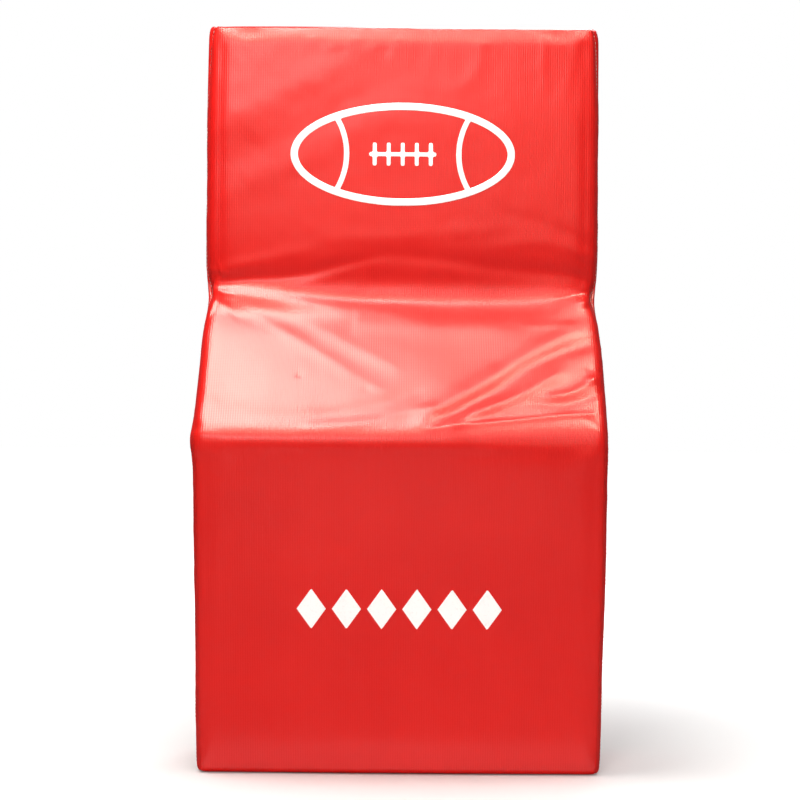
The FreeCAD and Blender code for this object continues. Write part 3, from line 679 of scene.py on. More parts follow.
FOLDS = [
    # The roll that lies along the left half of the crease, and the long hollow under it.
    Fold([(-0.99, -0.05), (-0.90, -0.01), (-0.75, 0.03), (-0.56, 0.058), (-0.28, 0.10), (0.0, 0.135),
          (0.25, 0.15)], 6.4, 12.5, 1.05, 0.12),
    Fold([(-0.98, 0.10), (-0.85, 0.14), (-0.65, 0.18), (-0.40, 0.21), (-0.10, 0.25), (0.12, 0.27)],
         -3.8, 22.0, 0.8, 0.2),
    Fold([(-0.25, 0.21), (0.0, 0.22), (0.30, 0.23), (0.55, 0.20)], 2.2, 16.0, 0.6, 0.6),
    Fold([(0.30, 0.07), (0.55, 0.06), (0.70, 0.05), (0.90, 0.05), (0.96, 0.02)], 2.0, 14.0, 0.1, 1.0),
    # From the left pinch down across the slope.
    Fold([(-0.97, -0.01), (-0.80, 0.11), (-0.69, 0.19), (-0.37, 0.47), (-0.16, 0.66), (0.04, 0.78)],
         1.1, 9.0, 1.2, 0.5, 0.3),
    Fold([(-0.88, 0.07), (-0.60, 0.20), (-0.28, 0.44), (-0.05, 0.62)], -0.9, 16.0, 1.0, 0.5),
    Fold([(-0.99, 0.02), (-0.90, 0.09), (-0.80, 0.21)], -1.2, 4.0, 1.0, 0.3),
    Fold([(-0.60, 0.10), (-0.30, 0.34), (-0.02, 0.55)], 0.7, 9.0, 0.4, 1.0),
    # Above the crease, from the left pinch up across the upper face.
    Fold([(-0.99, -0.08), (-0.80, -0.11), (-0.55, -0.14), (-0.30, -0.22), (-0.05, -0.28)],
         -3.0, 9.0, 1.3, 0.5),
    Fold([(-0.94, -0.17), (-0.84, -0.21), (-0.67, -0.26), (-0.40, -0.36)], 2.2, 9.0, 1.2, 0.3),
    Fold([(-0.62, -0.06), (-0.40, -0.13), (-0.25, -0.20), (-0.05, -0.26)], 1.6, 6.0, 0.5, 0.5),
    Fold([(-1.0, -0.19), (-0.95, -0.18), (-0.89, -0.15)], 1.3, 2.6, 1.0, 0.5, 0.4),
    Fold([(-1.0, -0.14), (-0.95, -0.14), (-0.88, -0.11)], -1.2, 2.4, 1.0, 0.4, 0.4),
    Fold([(-0.98, -0.05), (-0.91, 0.0), (-0.85, 0.015)], 1.5, 2.2, 1.0, 0.5, 0.5),
    Fold([(-0.98, 0.0), (-0.90, 0.035), (-0.84, 0.03)], -1.1, 2.6, 1.0, 0.4, 0.3),
    # Across the upper face, in from the right pinch and the middle.
    Fold([(-0.12, -0.30), (0.20, -0.27), (0.50, -0.21), (0.75, -0.18), (0.95, -0.14)], -2.6, 10.0, 0.5, 1.2),
    Fold([(-0.40, -0.40), (0.0, -0.44), (0.30, -0.47), (0.60, -0.52)], 1.3, 9.0, 0.7, 0.6),
    Fold([(0.42, -0.36), (0.70, -0.40), (0.96, -0.32)], 1.5, 9.0, 0.5, 1.0),
    Fold([(0.50, -0.62), (0.75, -0.52), (0.97, -0.38)], -1.5, 9.0, 0.4, 1.0),
    Fold([(0.80, 0.02), (0.90, -0.01), (0.99, -0.06)], -1.6, 3.2, 0.6, 1.0, 0.4),
    # The folds that run from the right edge down to the middle of the ridge.
    Fold([(0.99, 0.34), (0.80, 0.42), (0.62, 0.53), (0.44, 0.72), (0.18, 0.90)], -3.8, 12.0, 0.7, 1.0),
    Fold([(0.90, 0.24), (0.70, 0.40), (0.50, 0.57), (0.32, 0.73), (0.12, 0.92)], 3.6, 13.0, 0.5, 1.2),
    Fold([(0.78, 0.58), (0.58, 0.74), (0.40, 0.84), (0.24, 0.95)], 3.4, 9.5, 0.7, 1.1),
    Fold([(0.74, 0.66), (0.50, 0.83), (0.34, 0.92)], -0.9, 6.0, 0.6, 1.0),
    Fold([(0.14, 0.985), (0.30, 0.955), (0.55, 0.915), (0.80, 0.875), (0.93, 0.865)],
         1.9, 4.5, 1.2, 1.0, 0.4),
    # Dents by the right edge of the slope.
    Fold([(0.72, 0.75), (0.84, 0.71), (0.96, 0.61)], 2.4, 6.0, 0.8, 1.0, 0.3),
    Fold([(0.64, 0.79), (0.82, 0.79), (0.99, 0.70)], -1.5, 6.5, 0.8, 1.0),
    Fold([(0.90, 0.53), (1.0, 0.56)], -1.2, 4.0, 0.6, 1.0),
    Fold([(0.64, 0.23), (0.86, 0.22)], 0.9, 6.0, 0.8, 0.8),
    Fold([(0.90, 0.90), (1.0, 0.99)], -1.4, 4.0, 0.6, 1.0),
    # Where the cloth folds over the ridge, left of the middle.
    Fold([(-0.46, 0.99), (-0.20, 0.94), (0.02, 0.87), (0.16, 0.83)], 1.7, 8.0, 0.5, 0.9),
    Fold([(-0.40, 0.88), (-0.15, 0.82), (0.08, 0.72)], -1.4, 10.0, 0.6, 0.9),
    # The lower face, near its left edge.
    Fold([(-1.0, 1.17), (-0.94, 1.21), (-0.86, 1.20)], -1.6, 4.0, 1.0, 0.3),
    Fold([(-1.0, 1.04), (-0.93, 1.02), (-0.86, 1.03)], 1.2, 5.0, 1.0, 0.3),
    # Soft bands across the upper face.
    Fold([(-0.20, -1.80), (-0.55, -1.55), (-0.95, -1.25)], 1.4, 16.0, 0.6, 1.0),
    Fold([(-0.02, -1.62), (-0.50, -1.25), (-0.93, -0.98)], -1.2, 16.0, 0.6, 1.0),
    Fold([(0.02, -1.40), (-0.50, -1.00), (-0.92, -0.72)], 1.1, 15.0, 0.5, 1.0),
    Fold([(0.72, -1.95), (0.71, -1.70), (0.73, -1.45)], 1.0, 5.0, 1.0, 0.4),
    Fold([(0.92, -1.90), (0.88, -1.55), (0.90, -1.25)], -1.0, 7.0, 1.0, 0.5),
    Fold([(0.40, -1.90), (0.36, -1.65), (0.20, -1.45)], 0.9, 9.0, 1.0, 0.4),
]
FOLDS += [
    # Short gathers along the right edge, above the crease.
    Fold([(1.0, -0.34 + 0.062 * k), (0.94, -0.37 + 0.062 * k), (0.87, -0.385 + 0.055 * k)],
         1.0 if k % 2 else -1.0, 2.8, 1.0, 0.3)
    for k in range(6)
]
DENTS = [
    Dent(-1.02, -0.02, 15.0, 4.5), Dent(1.02, 0.02, 15.0, 5.0), Dent(0.94, 0.05, 6.0, -2.6),
    Dent(-0.5, 0.60, 4.0, 0.9), Dent(0.93, 0.62, 6.0, -1.2), Dent(-0.17, 0.70, 5.0, 0.6),
    Dent(-0.99, 0.98, 8.0, 1.5), Dent(0.33, 1.12, 16.0, 0.8), Dent(-0.55, -1.45, 20.0, 0.7),
    Dent(0.36, 0.42, 55.0, 1.6),
]
# Small creases where the cover has been gripped, by the top edge.
DENTS += [Dent(-0.47 + 0.055 * k, -1.90 + 0.03 * (k * 5 % 4), 3.2, 0.55 if k % 2 else -0.45)
          for k in range(9)]


def face_arc():
    """Heights and how far up the face, measured along it, each one is."""
    z = np.linspace(0, HEIGHT, 1801)
    y = face_y(z)
    step = np.hypot(np.diff(z), np.diff(y))
    return z, np.concatenate([[0], np.cumsum(step)])


ARC_Z, ARC_S = face_arc()


def up_the_face(z):
    return np.interp(z, ARC_Z, ARC_S)


def route_points(route, each=7):
    """A smooth curve through a route's points, as (across, up the face) in metres."""
    fixed = []
    for u, v in route:
        z = CREASE_Z - v * (CREASE_Z - RIDGE_Z)
        fixed.append((u * HALF, float(up_the_face(z))))
    p = np.array([fixed[0]] + fixed + [fixed[-1]])
    found = []
    for k in range(1, len(p) - 2):
        for t in np.linspace(0, 1, each, endpoint=False):
            a, b, c, d = p[k - 1], p[k], p[k + 1], p[k + 2]
            found.append(0.5 * (2 * b + (c - a) * t + (2 * a - 5 * b + 4 * c - d) * t * t
                                + (3 * b - a - 3 * c + d) * t ** 3))
    found.append(p[-2])
    return np.array(found)


def fold_height(fold, across, up):
    """How far the fold lifts the cloth at each place, in metres."""
    line = route_points(fold.route)
    nearest = np.full(len(across), 1e9)
    share = np.zeros(len(across))
    count = len(line) - 1
    for k in range(count):
        (x0, s0), (x1, s1) = line[k], line[k + 1]
        dx, ds = x1 - x0, s1 - s0
        t = np.clip(((across - x0) * dx + (up - s0) * ds) / (dx * dx + ds * ds), 0, 1)
        distance = np.hypot(across - x0 - t * dx, up - s0 - t * ds)
        closer = distance < nearest
        nearest = np.where(closer, distance, nearest)
        share = np.where(closer, (k + t) / count, share)
    width = fold.width * MM
    smooth = np.exp(-(nearest / width) ** 2)
    sharp = np.exp(-1.4 * nearest / width)
    size = fold.start + (fold.end - fold.start) * share
    # A fold that keeps its height to its end runs on into a seam, and the others fade out.
    rise, fall = ((-0.1, 0.06), (0.94, 1.12)) if fold.end >= 0.8 else ((0, 0.06), (0.8, 1.0))
    ends = smoothstep(*rise, share) * (1 - smoothstep(*fall, share))
    return fold.height * MM * size * ends * (smooth + (sharp - smooth) * fold.crisp)


def unrolled(points):
    """Each point's place on the face, (across, up the face), with the sides folded out flat."""
    x, y, z = points.T
    beyond = np.where(np.abs(x) > HALF - 0.8 * FRONT_RADIUS, np.maximum(y - face_y(z) - 2 * MM, 0), 0)
    return x + np.sign(x) * beyond, up_the_face(z)


def soft_noise(points, scale, seed):
    shift = Vector((seed * 7.3, seed * 3.1, seed * 5.7))
    return np.array([noise.noise(Vector(p) * scale + shift) for p in points])


def bell(distance, width):
    """1 at a line and fading to 0 over about the width, on both sides."""
    return np.exp(-(distance / width) ** 2)


def face_lift(here, across, up):
    """How far the folds, the dents and the fullness of the ridge lift the face's cloth."""
    ridge, top = float(up_the_face(RIDGE_Z)), up_the_face(HEIGHT)
    lift = np.zeros(len(here))
    for fold in FOLDS:
        lift += FOLD_SCALE * fold_height(fold, across, up)
    for dent in DENTS:
        z = CREASE_Z - dent.v * (CREASE_Z - RIDGE_Z)
        distance = np.hypot(across - dent.u * HALF, up - float(up_the_face(z)))
        lift -= dent.depth * MM * bell(distance, dent.radius * MM)
    # The upper face leans back a little towards its top, and rolls over at its edge.
    for depth, start in ((4.0, 130), (2.3, 21)):
        lift -= depth * MM * smoothstep(up_the_face(HEIGHT - start * MM), top, up)
    # The ridge hangs full on the left and in the middle, and wanders a little.
    u = across / HALF
    lift += 3.0 * MM * (1 - smoothstep(0.2, 0.7, u)) * bell(up - ridge + 11 * MM, 20 * MM)
    return lift + 0.35 * MM * np.sin(u * 4.2 + 0.6) * bell(up - ridge, 22 * MM)


def crease_tuck(across, up):
    """How far the crease pulls the cloth in over a hand's width: most at its ends, softly between."""
    from_crease = up - float(up_the_face(CREASE_Z))
    u = across / HALF
    slack = smoothstep(-0.7, -0.1, u) * (1 - smoothstep(0.55, 1.0, u))
    pull = (2.2 + 4.2 * slack + 5.0 * np.abs(u) ** 6) * MM
    from_tuck = from_crease - (9 - 13 * slack) * MM
    above = bell(np.maximum(from_tuck, 0), 40 * MM)
    below = bell(np.maximum(-from_tuck, 0), (14 + 16 * slack) * MM)
    return pull * np.where(from_tuck > 0, above, below)


def ripple_gussets(points, on_face):
    """Waves the side gussets, but not by the face, the back, the floor or the vents."""
    wavy = np.nonzero((np.abs(points[:, 0]) > HALF - 1 * MM) & ~on_face)[0]
    side = points[wavy]
    from_vent = np.min([np.hypot(side[:, 1] - VENT_Y, side[:, 2] - z) for z in VENT_HEIGHTS], axis=0)
    calm = smoothstep(16 * MM, 45 * MM, from_vent) * smoothstep(0, 30 * MM, side[:, 2])
    calm = calm * smoothstep(0, 25 * MM, BACK_Y - side[:, 1])
    calm = calm * smoothstep(45 * MM, 70 * MM, side[:, 1] - face_y(side[:, 2]))
    wave = soft_noise(side, 9.0, 5) * 1.1 * MM + soft_noise(side, 28.0, 3) * 0.35 * MM
    points[wavy, 0] += np.sign(side[:, 0]) * wave * calm


def crumple(mesh):
    """Tucks the cloth in at the crease and raises the folds on the face."""
    points, outwards = coordinates(mesh), normals(mesh)
    on_face = points[:, 1] < face_y(points[:, 2]) + 45 * MM
    chosen = np.nonzero(on_face)[0]
    here = points[chosen]
    across, up = unrolled(here)
    fade = 1 - smoothstep(HALF + 10 * MM, HALF + 26 * MM, np.abs(across))
    behind = here[:, 1] - face_y(here[:, 2])
    lift = face_lift(here, across, up) * fade * (1 - smoothstep(12 * MM, 43 * MM, behind))
    broad = soft_noise(here, 8.0, 4) * 0.7 * MM + soft_noise(here, 24.0, 2) * 0.3 * MM
    high_up = smoothstep(CREASE_Z + 40 * MM, CREASE_Z + 90 * MM, here[:, 2])
    broad += soft_noise(here, 62.0, 7) * (0.08 + 0.14 * high_up) * MM
    lift += broad * smoothstep(0, 12 * MM, here[:, 2]) * (1 - smoothstep(25 * MM, 44 * MM, behind))
    points[chosen] = here + outwards[chosen] * lift[:, None]
    points[chosen, 1] += crease_tuck(across, up) * fade
    ripple_gussets(points, on_face)
    waist = bell(points[:, 2] - CREASE_Z + 8 * MM, 30 * MM)
    waist *= 1 - smoothstep(20 * MM, 90 * MM, points[:, 1] - face_y(points[:, 2]))
    points[:, 0] *= 1 - WAIST_PINCH / HALF * waist
    set_coordinates(mesh, points)


# ---- Seams ---------------------------------------------------------------------------------------
SEAM_REACH = 30 * MM        # how far from a seam the sewing shapes the cloth
SEAM_SHIFT = 3.7            # metres along the noise from one seam's gathers to the next's


def seam_chains(mesh):
    """The lines where two panels meet, in order, as {(panel, panel): [vertex, ...]}."""
    sides = {}
    for polygon in mesh.polygons:
        for edge in polygon.edge_keys:
            sides.setdefault(edge, []).append(polygon.material_index)
    links = {}
    for (a, b), owners in sides.items():
        if len(owners) == 2 and owners[0] != owners[1]:
            near = links.setdefault(tuple(sorted(owners)), {})
            near.setdefault(a, []).append(b)
            near.setdefault(b, []).append(a)
    chains = {}
    for pair, near in links.items():
        ends = [v for v in near if len(near[v]) == 1]
        chain, before = [min(ends) if ends else min(near)], None
        while True:
            onward = [v for v in near[chain[-1]] if v != before and v not in chain[:1]]
            if not onward:
                break
            before = chain[-1]
            chain.append(onward[0])
        chains[PANELS[pair[0]], PANELS[pair[1]]] = chain
    return chains


def sew(mesh, chains):
    """Draws the cloth in along each seam, with a roll and gathers beside it."""
    points, outwards = coordinates(mesh), normals(mesh)
    places = []
    for number, chain in enumerate(chains.values()):
        length = 0.0
        for k, v in enumerate(chain):
            if k:
                length += float(np.linalg.norm(points[v] - points[chain[k - 1]]))
            places.append((points[v], length + SEAM_SHIFT * number))
    tree = KDTree(len(places))
    for k, (place, _) in enumerate(places):
        tree.insert(place, k)
    tree.balance()
    lift = np.zeros(len(points))
    for v, point in enumerate(points):
        _, k, distance = tree.find(point)
        if distance > SEAM_REACH:
            continue
        along = places[k][1]
        groove = -1.1 * math.exp(-(distance / (1.6 * MM)) ** 2)
        roll = 0.55 * math.exp(-((distance - 5 * MM) / (3 * MM)) ** 2)
        gathers = 0.5 * noise.noise(Vector((along * 95, along * 13, 0.0)))
        gathers *= math.exp(-distance / (8 * MM))
        lift[v] = (groove + roll + gathers) * MM
    on_floor = points[:, 2] < 2 * MM
    lift[on_floor] = np.minimum(lift[on_floor], 0)
    window = (points[:, 1] > BACK_Y - 3 * MM) & (np.abs(points[:, 2] - ZIP_Z) < 28 * MM)
    lift[window] *= 0.25
    points += outwards * lift[:, None]
    points[:, 2] = np.maximum(points[:, 2], 0.0)
    set_coordinates(mesh, points)


# ---- Panels and foam cut from the finished cover -------------------------------------------------
FOAM_CLEARANCE = 3.2 * MM   # from the cover's outside to the foam
FACE_LAYER = 20 * MM        # the face layers' thickness


def cut_panel(mesh, panel, material):
    """One panel as a piece of its own, as thick as the cloth."""
    index = PANELS.index(panel)
    faces = [tuple(p.vertices) for p in mesh.polygons if p.material_index == index]
    used = sorted({v for face in faces for v in face})
    renumber = {v: k for k, v in enumerate(used)}
    points = coordinates(mesh)[used]
    piece = new_piece(panel + "_cloth", points, [[renumber[v] for v in f] for f in faces], [material])
    solidify = piece.modifiers.new("cloth", "SOLIDIFY")
    solidify.thickness = CLOTH
    solidify.offset = -1
    return piece


def foam_layer(name, coarse_points, coarse_faces, cuts, material):
    """A layer of foam: what is left of the stuffing after the cuts, each (point, direction cut away)."""
    made = bmesh.new()
    verts = [made.verts.new(p) for p in coarse_points]
    for face in coarse_faces:
        made.faces.new([verts[v] for v in face])
    for point, away in cuts:
        geometry = made.verts[:] + made.edges[:] + made.faces[:]
        bmesh.ops.bisect_plane(made, geom=geometry, plane_co=point, plane_no=away, clear_outer=True)
        rim = [e for e in made.edges if e.is_boundary]
        bmesh.ops.contextual_create(made, geom=rim)
    bmesh.ops.recalc_face_normals(made, faces=made.faces)
    piece = piece_from(name, made)
    piece.data.materials.append(material)
    return piece


def build_cover():
    """The cover's panels, and the foam inside. Returns the finished surface, its seams and panels."""
    cover = flat_cover()
    stuff(cover)
    coarse_count = len(cover.data.vertices)
    coarse_faces = [tuple(p.vertices) for p in cover.data.polygons]
    subdivide = cover.modifiers.new("finer", "SUBSURF")
    subdivide.levels = subdivide.render_levels = 2
    bake_modifiers(cover)
    mesh = cover.data
    crumple(mesh)
    chains = seam_chains(mesh)
    sew(mesh, chains)

    finish = {"side_gusset_left": VINYL_SIDE, "side_gusset_right": VINYL_SIDE,
              "top_gusset": VINYL_LEVEL, "base_gusset": VINYL_LEVEL}
    lengths = {
        "front_panel": (2 * (HALF + SEAM_SETBACK), float(ARC_S[-1]) + 2 * SEAM_SETBACK),
        "side_gusset_left": (BACK_Y - RIDGE_Y, HEIGHT),
        "side_gusset_right": (BACK_Y - RIDGE_Y, HEIGHT),
        "top_gusset": (2 * HALF, BACK_Y - UPPER_FRONT_Y - SEAM_SETBACK),
        "base_gusset": (2 * HALF, BACK_Y - BASE_FRONT_Y - SEAM_SETBACK),
        "back_panel_lower": (2 * HALF, WINDOW_LOW),
        "back_panel_upper": (2 * HALF, HEIGHT - WINDOW_HIGH),
    }
    panels = {}
    for panel, flat in lengths.items():
        piece = cut_panel(mesh, panel, finish.get(panel, VINYL_FACE))
        finish_piece(piece, "shield", "red_vinyl", panel)
        area = None
        if panel.startswith("side_gusset"):
            area = gusset_area()
        panels[panel] = piece

    under = coordinates(mesh)[:coarse_count] - normals(mesh)[:coarse_count] * FOAM_CLEARANCE
    build_foam(under, coarse_faces)
    return cover, chains, panels


def gusset_area():
    """A side gusset's flat area: the side profile less the strip that the face panel covers."""
    z = np.linspace(0, HEIGHT, 400)
    front = face_y(z) + SEAM_SETBACK * np.sqrt(1 + face_slope(z) ** 2)
    return float(np.mean(BACK_Y - front) * HEIGHT)


def build_foam(points, faces):
    """The six foam layers, with the joints between them where the frame has them."""
    slab_front, slab_back = (corner.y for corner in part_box("main_foam_slab"))
    forwards, backwards = Vector((0, -1, 0)), Vector((0, 1, 0))
    # The faces' outward directions, square to the runs of the side profile in millimetres.
    lower_out = Vector((0, -407, -67)).normalized()
    slope_out = Vector((0, -165, 135)).normalized()
    upper_out = forwards
    ridge, crease = Vector((0, RIDGE_Y, RIDGE_Z)), Vector((0, UPPER_FRONT_Y, CREASE_Z))

    def joint_up(mitre):
        """The upward direction across a joint that runs in along the mitre."""
        return Vector((0, -mitre.z, mitre.y)).normalized() * -1

    ridge_up, crease_up = joint_up(slope_out + lower_out), joint_up(slope_out + upper_out)

    def face_plane(corner, outwards, away):
        """The plane at the back of a face layer, and which side of it is cut away."""
        return corner - outwards * FACE_LAYER, outwards * away

    def gap(y):
        return Vector((0, y, 0))

    layers = [
        ("back_layer_filling", "back_foam_layer", DENSE_FOAM, "dense_foam", 1.0,
         [(gap(slab_back + 0.2 * MM), forwards)]),
        ("main_slab_filling", "main_foam_slab", FOAM, "foam", 1.0,
         [(gap(slab_back), backwards), (gap(slab_front), forwards)]),
        ("wedge_block_filling", "wedge_foam_block", FOAM, "foam", 1.0,
         [(gap(slab_front - 0.2 * MM), backwards), face_plane(ridge, lower_out, 1),
          face_plane(ridge, slope_out, 1)]),
        ("lower_face_filling", "lower_face_foam", SOFT_FOAM, "soft_foam", 0.9,
         [face_plane(ridge, lower_out, -1), (ridge, ridge_up)]),
        ("slope_face_filling", "slope_face_foam", SOFT_FOAM, "soft_foam", 0.9,
         [face_plane(ridge, slope_out, -1), (ridge, -ridge_up), (crease, crease_up)]),
        ("upper_face_filling", "upper_face_foam", SOFT_FOAM, "soft_foam", 0.9,
         [face_plane(crease, upper_out, -1), (crease, -crease_up)]),
    ]
    for name, node, material, slot, fill, cuts in layers:
        piece = foam_layer(name, points, faces, cuts, material)
        finish_piece(piece, "shield", slot, node)


# ---- Flat parts cut to an outline ----------------------------------------------------------------
# An outline is a function of two arrays, the place on the part, that gives each place's depth
# inside the edge, in metres, and is negative outside.
def contour(outline, low, high, cell):
    """The part of a grid that lies inside the outline, as (places, their depths, faces)."""
    counts = [max(2, int(math.ceil((high[k] - low[k]) / cell))) for k in (0, 1)]
    a = np.linspace(low[0], high[0], counts[0] + 1)
    b = np.linspace(low[1], high[1], counts[1] + 1)
    grid_a, grid_b = np.meshgrid(a, b, indexing="ij")
    depth = outline(grid_a, grid_b)
    places, depths, known, faces = [], [], {}, []

    def corner(i, j):
        if (i, j) not in known:
            known[i, j] = len(places)
            places.append((a[i], b[j]))
            depths.append(float(depth[i, j]))
        return known[i, j]

    def crossing(one, other):
        key = (min(one, other), max(one, other))
        if key not in known:
            near, far = depth[key[0]], depth[key[1]]
            t = float(np.clip(near / (near - far), 0.04, 0.96))
            (i0, j0), (i1, j1) = key
            known[key] = len(places)
            places.append((a[i0] + (a[i1] - a[i0]) * t, b[j0] + (b[j1] - b[j0]) * t))
            depths.append(0.0)
        return known[key]

    for i in range(counts[0]):
        for j in range(counts[1]):
            corners = [(i, j), (i + 1, j), (i + 1, j + 1), (i, j + 1)]
            inside = [depth[c] > 0 for c in corners]
            if not any(inside):
                continue
            face = []
            for k in range(4):
                if inside[k]:
                    face.append(corner(*corners[k]))
                if inside[k] != inside[(k + 1) % 4]:
                    face.append(crossing(corners[k], corners[(k + 1) % 4]))
            if len(face) > 2:
                faces.append(face)
    return places, depths, faces


def edge_loops(faces):
    """The directed edges that only one face has."""
    directed = {(f[k], f[(k + 1) % len(f)]) for f in faces for k in range(len(f))}
    return [(p, q) for p, q in directed if (q, p) not in directed]


def moulding(outline, low, high, cell, back, front, bevel):
    """A flat part with rounded edges as (vertices, faces); each vertex is (a, b, height)."""
    places, depths, faces = contour(outline, low, high, cell)
    count = len(places)
    verts = []
    for side in (front, back):
        middle = (front + back) / 2
        for (a, b), depth in zip(places, depths):
            t = min(max(depth, 0.0) / bevel, 1.0)
            drop = min(bevel, abs(front - back) / 2 * 0.9) * (1 - math.sqrt(1 - (1 - t) ** 2))
            verts.append((a, b, side - math.copysign(drop, side - middle)))
    made = [list(f) for f in faces] + [[v + count for v in reversed(f)] for f in faces]
    made += [[q, p, p + count, q + count] for p, q in edge_loops(faces)]
    return verts, made


def rounded_box(half_a, half_b, corner, centre=(0.0, 0.0)):
    """The outline of a rounded rectangle."""
    def outline(a, b):
        p = np.abs(a - centre[0]) - (half_a - corner)
        q = np.abs(b - centre[1]) - (half_b - corner)
        outside = np.hypot(np.maximum(p, 0), np.maximum(q, 0))
        return corner - outside - np.minimum(np.maximum(p, q), 0)
    return outline


def disc(radius, centre=(0.0, 0.0)):
    def outline(a, b):
        return radius - np.hypot(a - centre[0], b - centre[1])
    return outline


def union(*outlines):
    return lambda a, b: np.maximum.reduce([f(a, b) for f in outlines])


def without(outline, *holes):
    return lambda a, b: np.minimum.reduce([outline(a, b)] + [-f(a, b) for f in holes])


def gather(parts):
    """Several (vertices, faces) as one."""
    verts, faces = [], []
    for more, made in parts:
        start = len(verts)
        verts += list(more)
        faces += [[v + start for v in face] for face in made]
    return verts, faces


def placed(part, where):
    verts, faces = part
    return [where(*v) for v in verts], faces


# ---- Strips swept along a path -------------------------------------------------------------------
Station = namedtuple("Station", "centre across out along")


def rounded_section(width, inwards, outwards, corner, steps=4):
    """A rounded rectangle's outline, (across, out), from the bottom left corner round."""
    half, found = width / 2, []
    middles = [(half - corner, corner - inwards, -90), (half - corner, outwards - corner, 0),
               (corner - half, outwards - corner, 90), (corner - half, corner - inwards, 180)]
    for a, b, start in middles:
        for k in range(steps + 1):
            angle = math.radians(start + 90 * k / steps)
            found.append((a + corner * math.cos(angle), b + corner * math.sin(angle)))
    return found


def sweep(name, stations, sections, material):
    """A closed strip: one section, or one for each station, carried along the stations."""
    if not isinstance(sections[0], list):
        sections = [sections] * len(stations)
    around = len(sections[0])
    verts, uvs = [], []
    for station, section in zip(stations, sections):
        verts += [station.centre + station.across * a + station.out * b for a, b in section]
    girth = [0.0]
    widest = max(sections, key=lambda s: max(a for a, _ in s))
    for k in range(around):
        (a0, b0), (a1, b1) = widest[k], widest[(k + 1) % around]
        girth.append(girth[-1] + math.hypot(a1 - a0, b1 - b0))
    for one, other in zip(stations, stations[1:]):
        for k in range(around):
            uvs += [(girth[k], one.along), (girth[k + 1], one.along),
                    (girth[k + 1], other.along), (girth[k], other.along)]
    faces = tube_faces(len(stations), around)
    for cap, station in zip(faces[-2:], (stations[0], stations[-1])):
        uvs += [(girth[v % around], station.along) for v in cap]
    piece = new_piece(name, verts, faces, [material])
    layer = piece.data.uv_layers.new(name="UVMap")
    for loop, uv in zip(layer.data, uvs):
        loop.uv = uv
    return tidy_normals(piece)


# ---- The loops on the back -----------------------------------------------------------------------
Loop = namedtuple("Loop", "arc end_arc angle tab width x z upright")
WEBBING_THICKNESS = 2.5 * MM
PATCH_FACE_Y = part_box("arm_strap_patches")[1].y
SEAT_Y = PATCH_FACE_Y + WEBBING_THICKNESS / 2
ARM_LOOPS = {
    side: Loop(187 * MM, 48 * MM, math.radians(50), 70 * MM, 50 * MM, x, 500 * MM, True)
    for side, x in (("left", -115 * MM), ("right", 115 * MM))
}
HANDLE_LOOP = Loop(70 * MM, 35 * MM, math.radians(55), 50 * MM, 38 * MM, 0.0, 830 * MM, False)
PATCH_MARGIN = 17 * MM


def half_span(loop):
    return (loop.arc + loop.end_arc) * math.sin(loop.angle)


def sewn_end(loop, side):
    """The middle of one of the loop's sewn ends on the back, as (x, z)."""
    offset = side * (half_span(loop) + loop.tab / 2)
    return (loop.x, loop.z + offset) if loop.upright else (loop.x + offset, loop.z)


def loop_station(loop, along):
    """The strip's centre, its width direction and its outward direction, at a length from its middle."""
    length, side = abs(along), math.copysign(1, along)
    rise = (loop.arc + loop.end_arc) * (1 - math.cos(loop.angle))
    main, bent = loop.arc * loop.angle, (loop.arc + loop.end_arc) * loop.angle
    if length < main:
        turn = length / loop.arc
        x, y = loop.arc * math.sin(turn), rise - loop.arc + loop.arc * math.cos(turn)
    elif length < bent:
        turn = loop.angle - (length - main) / loop.end_arc
        x = half_span(loop) - loop.end_arc * math.sin(turn)
        y = loop.end_arc * (1 - math.cos(turn))
    else:
        turn, x, y = 0.0, half_span(loop) + length - bent, 0.0
    x, tilt = side * x, side * math.sin(turn)
    if loop.upright:
        centre = Vector((loop.x, SEAT_Y + y, loop.z + x))
        return Station(centre, Vector((1, 0, 0)), Vector((0, math.cos(turn), tilt)), along)
    centre = Vector((loop.x + x, SEAT_Y + y, loop.z))
    return Station(centre, Vector((0, 0, -1)), Vector((tilt, math.cos(turn), 0)), along)


def webbing_halves(prefix, loop, body, *nodes):
    """The loop's webbing in two halves that meet inside its sleeve, each running from the middle to its sewn
    end.
    """
    end = (loop.arc + loop.end_arc) * loop.angle + loop.tab
    section = rounded_section(loop.width, WEBBING_THICKNESS / 2, WEBBING_THICKNESS / 2, 1.1 * MM, 3)
    edge, count = loop.width / 2 - 1.2 * MM, 90
    for label, side in (("a", 1), ("b", -1)):
        stations, sections = [], []
        for k in range(count + 1):
            along = side * (0.4 * MM + (end - 0.4 * MM) * k / count)
            stations.append(loop_station(loop, along))
            ripple = 0.12 * MM * math.sin(along * 700)
            sections.append([(a, b + (ripple if abs(a) > edge else 0)) for a, b in section])
        piece = sweep(f"{prefix}_webbing_{label}", stations, sections, WEBBING)
        foot = loop_station(loop, side * (end - loop.tab)).centre
        free = loop_station(loop, side * 0.64 * loop.arc * loop.angle).centre
        foot.y = free.y = SEAT_Y
        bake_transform(piece)
        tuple(foot)
        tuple(free)
        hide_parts(*nodes)


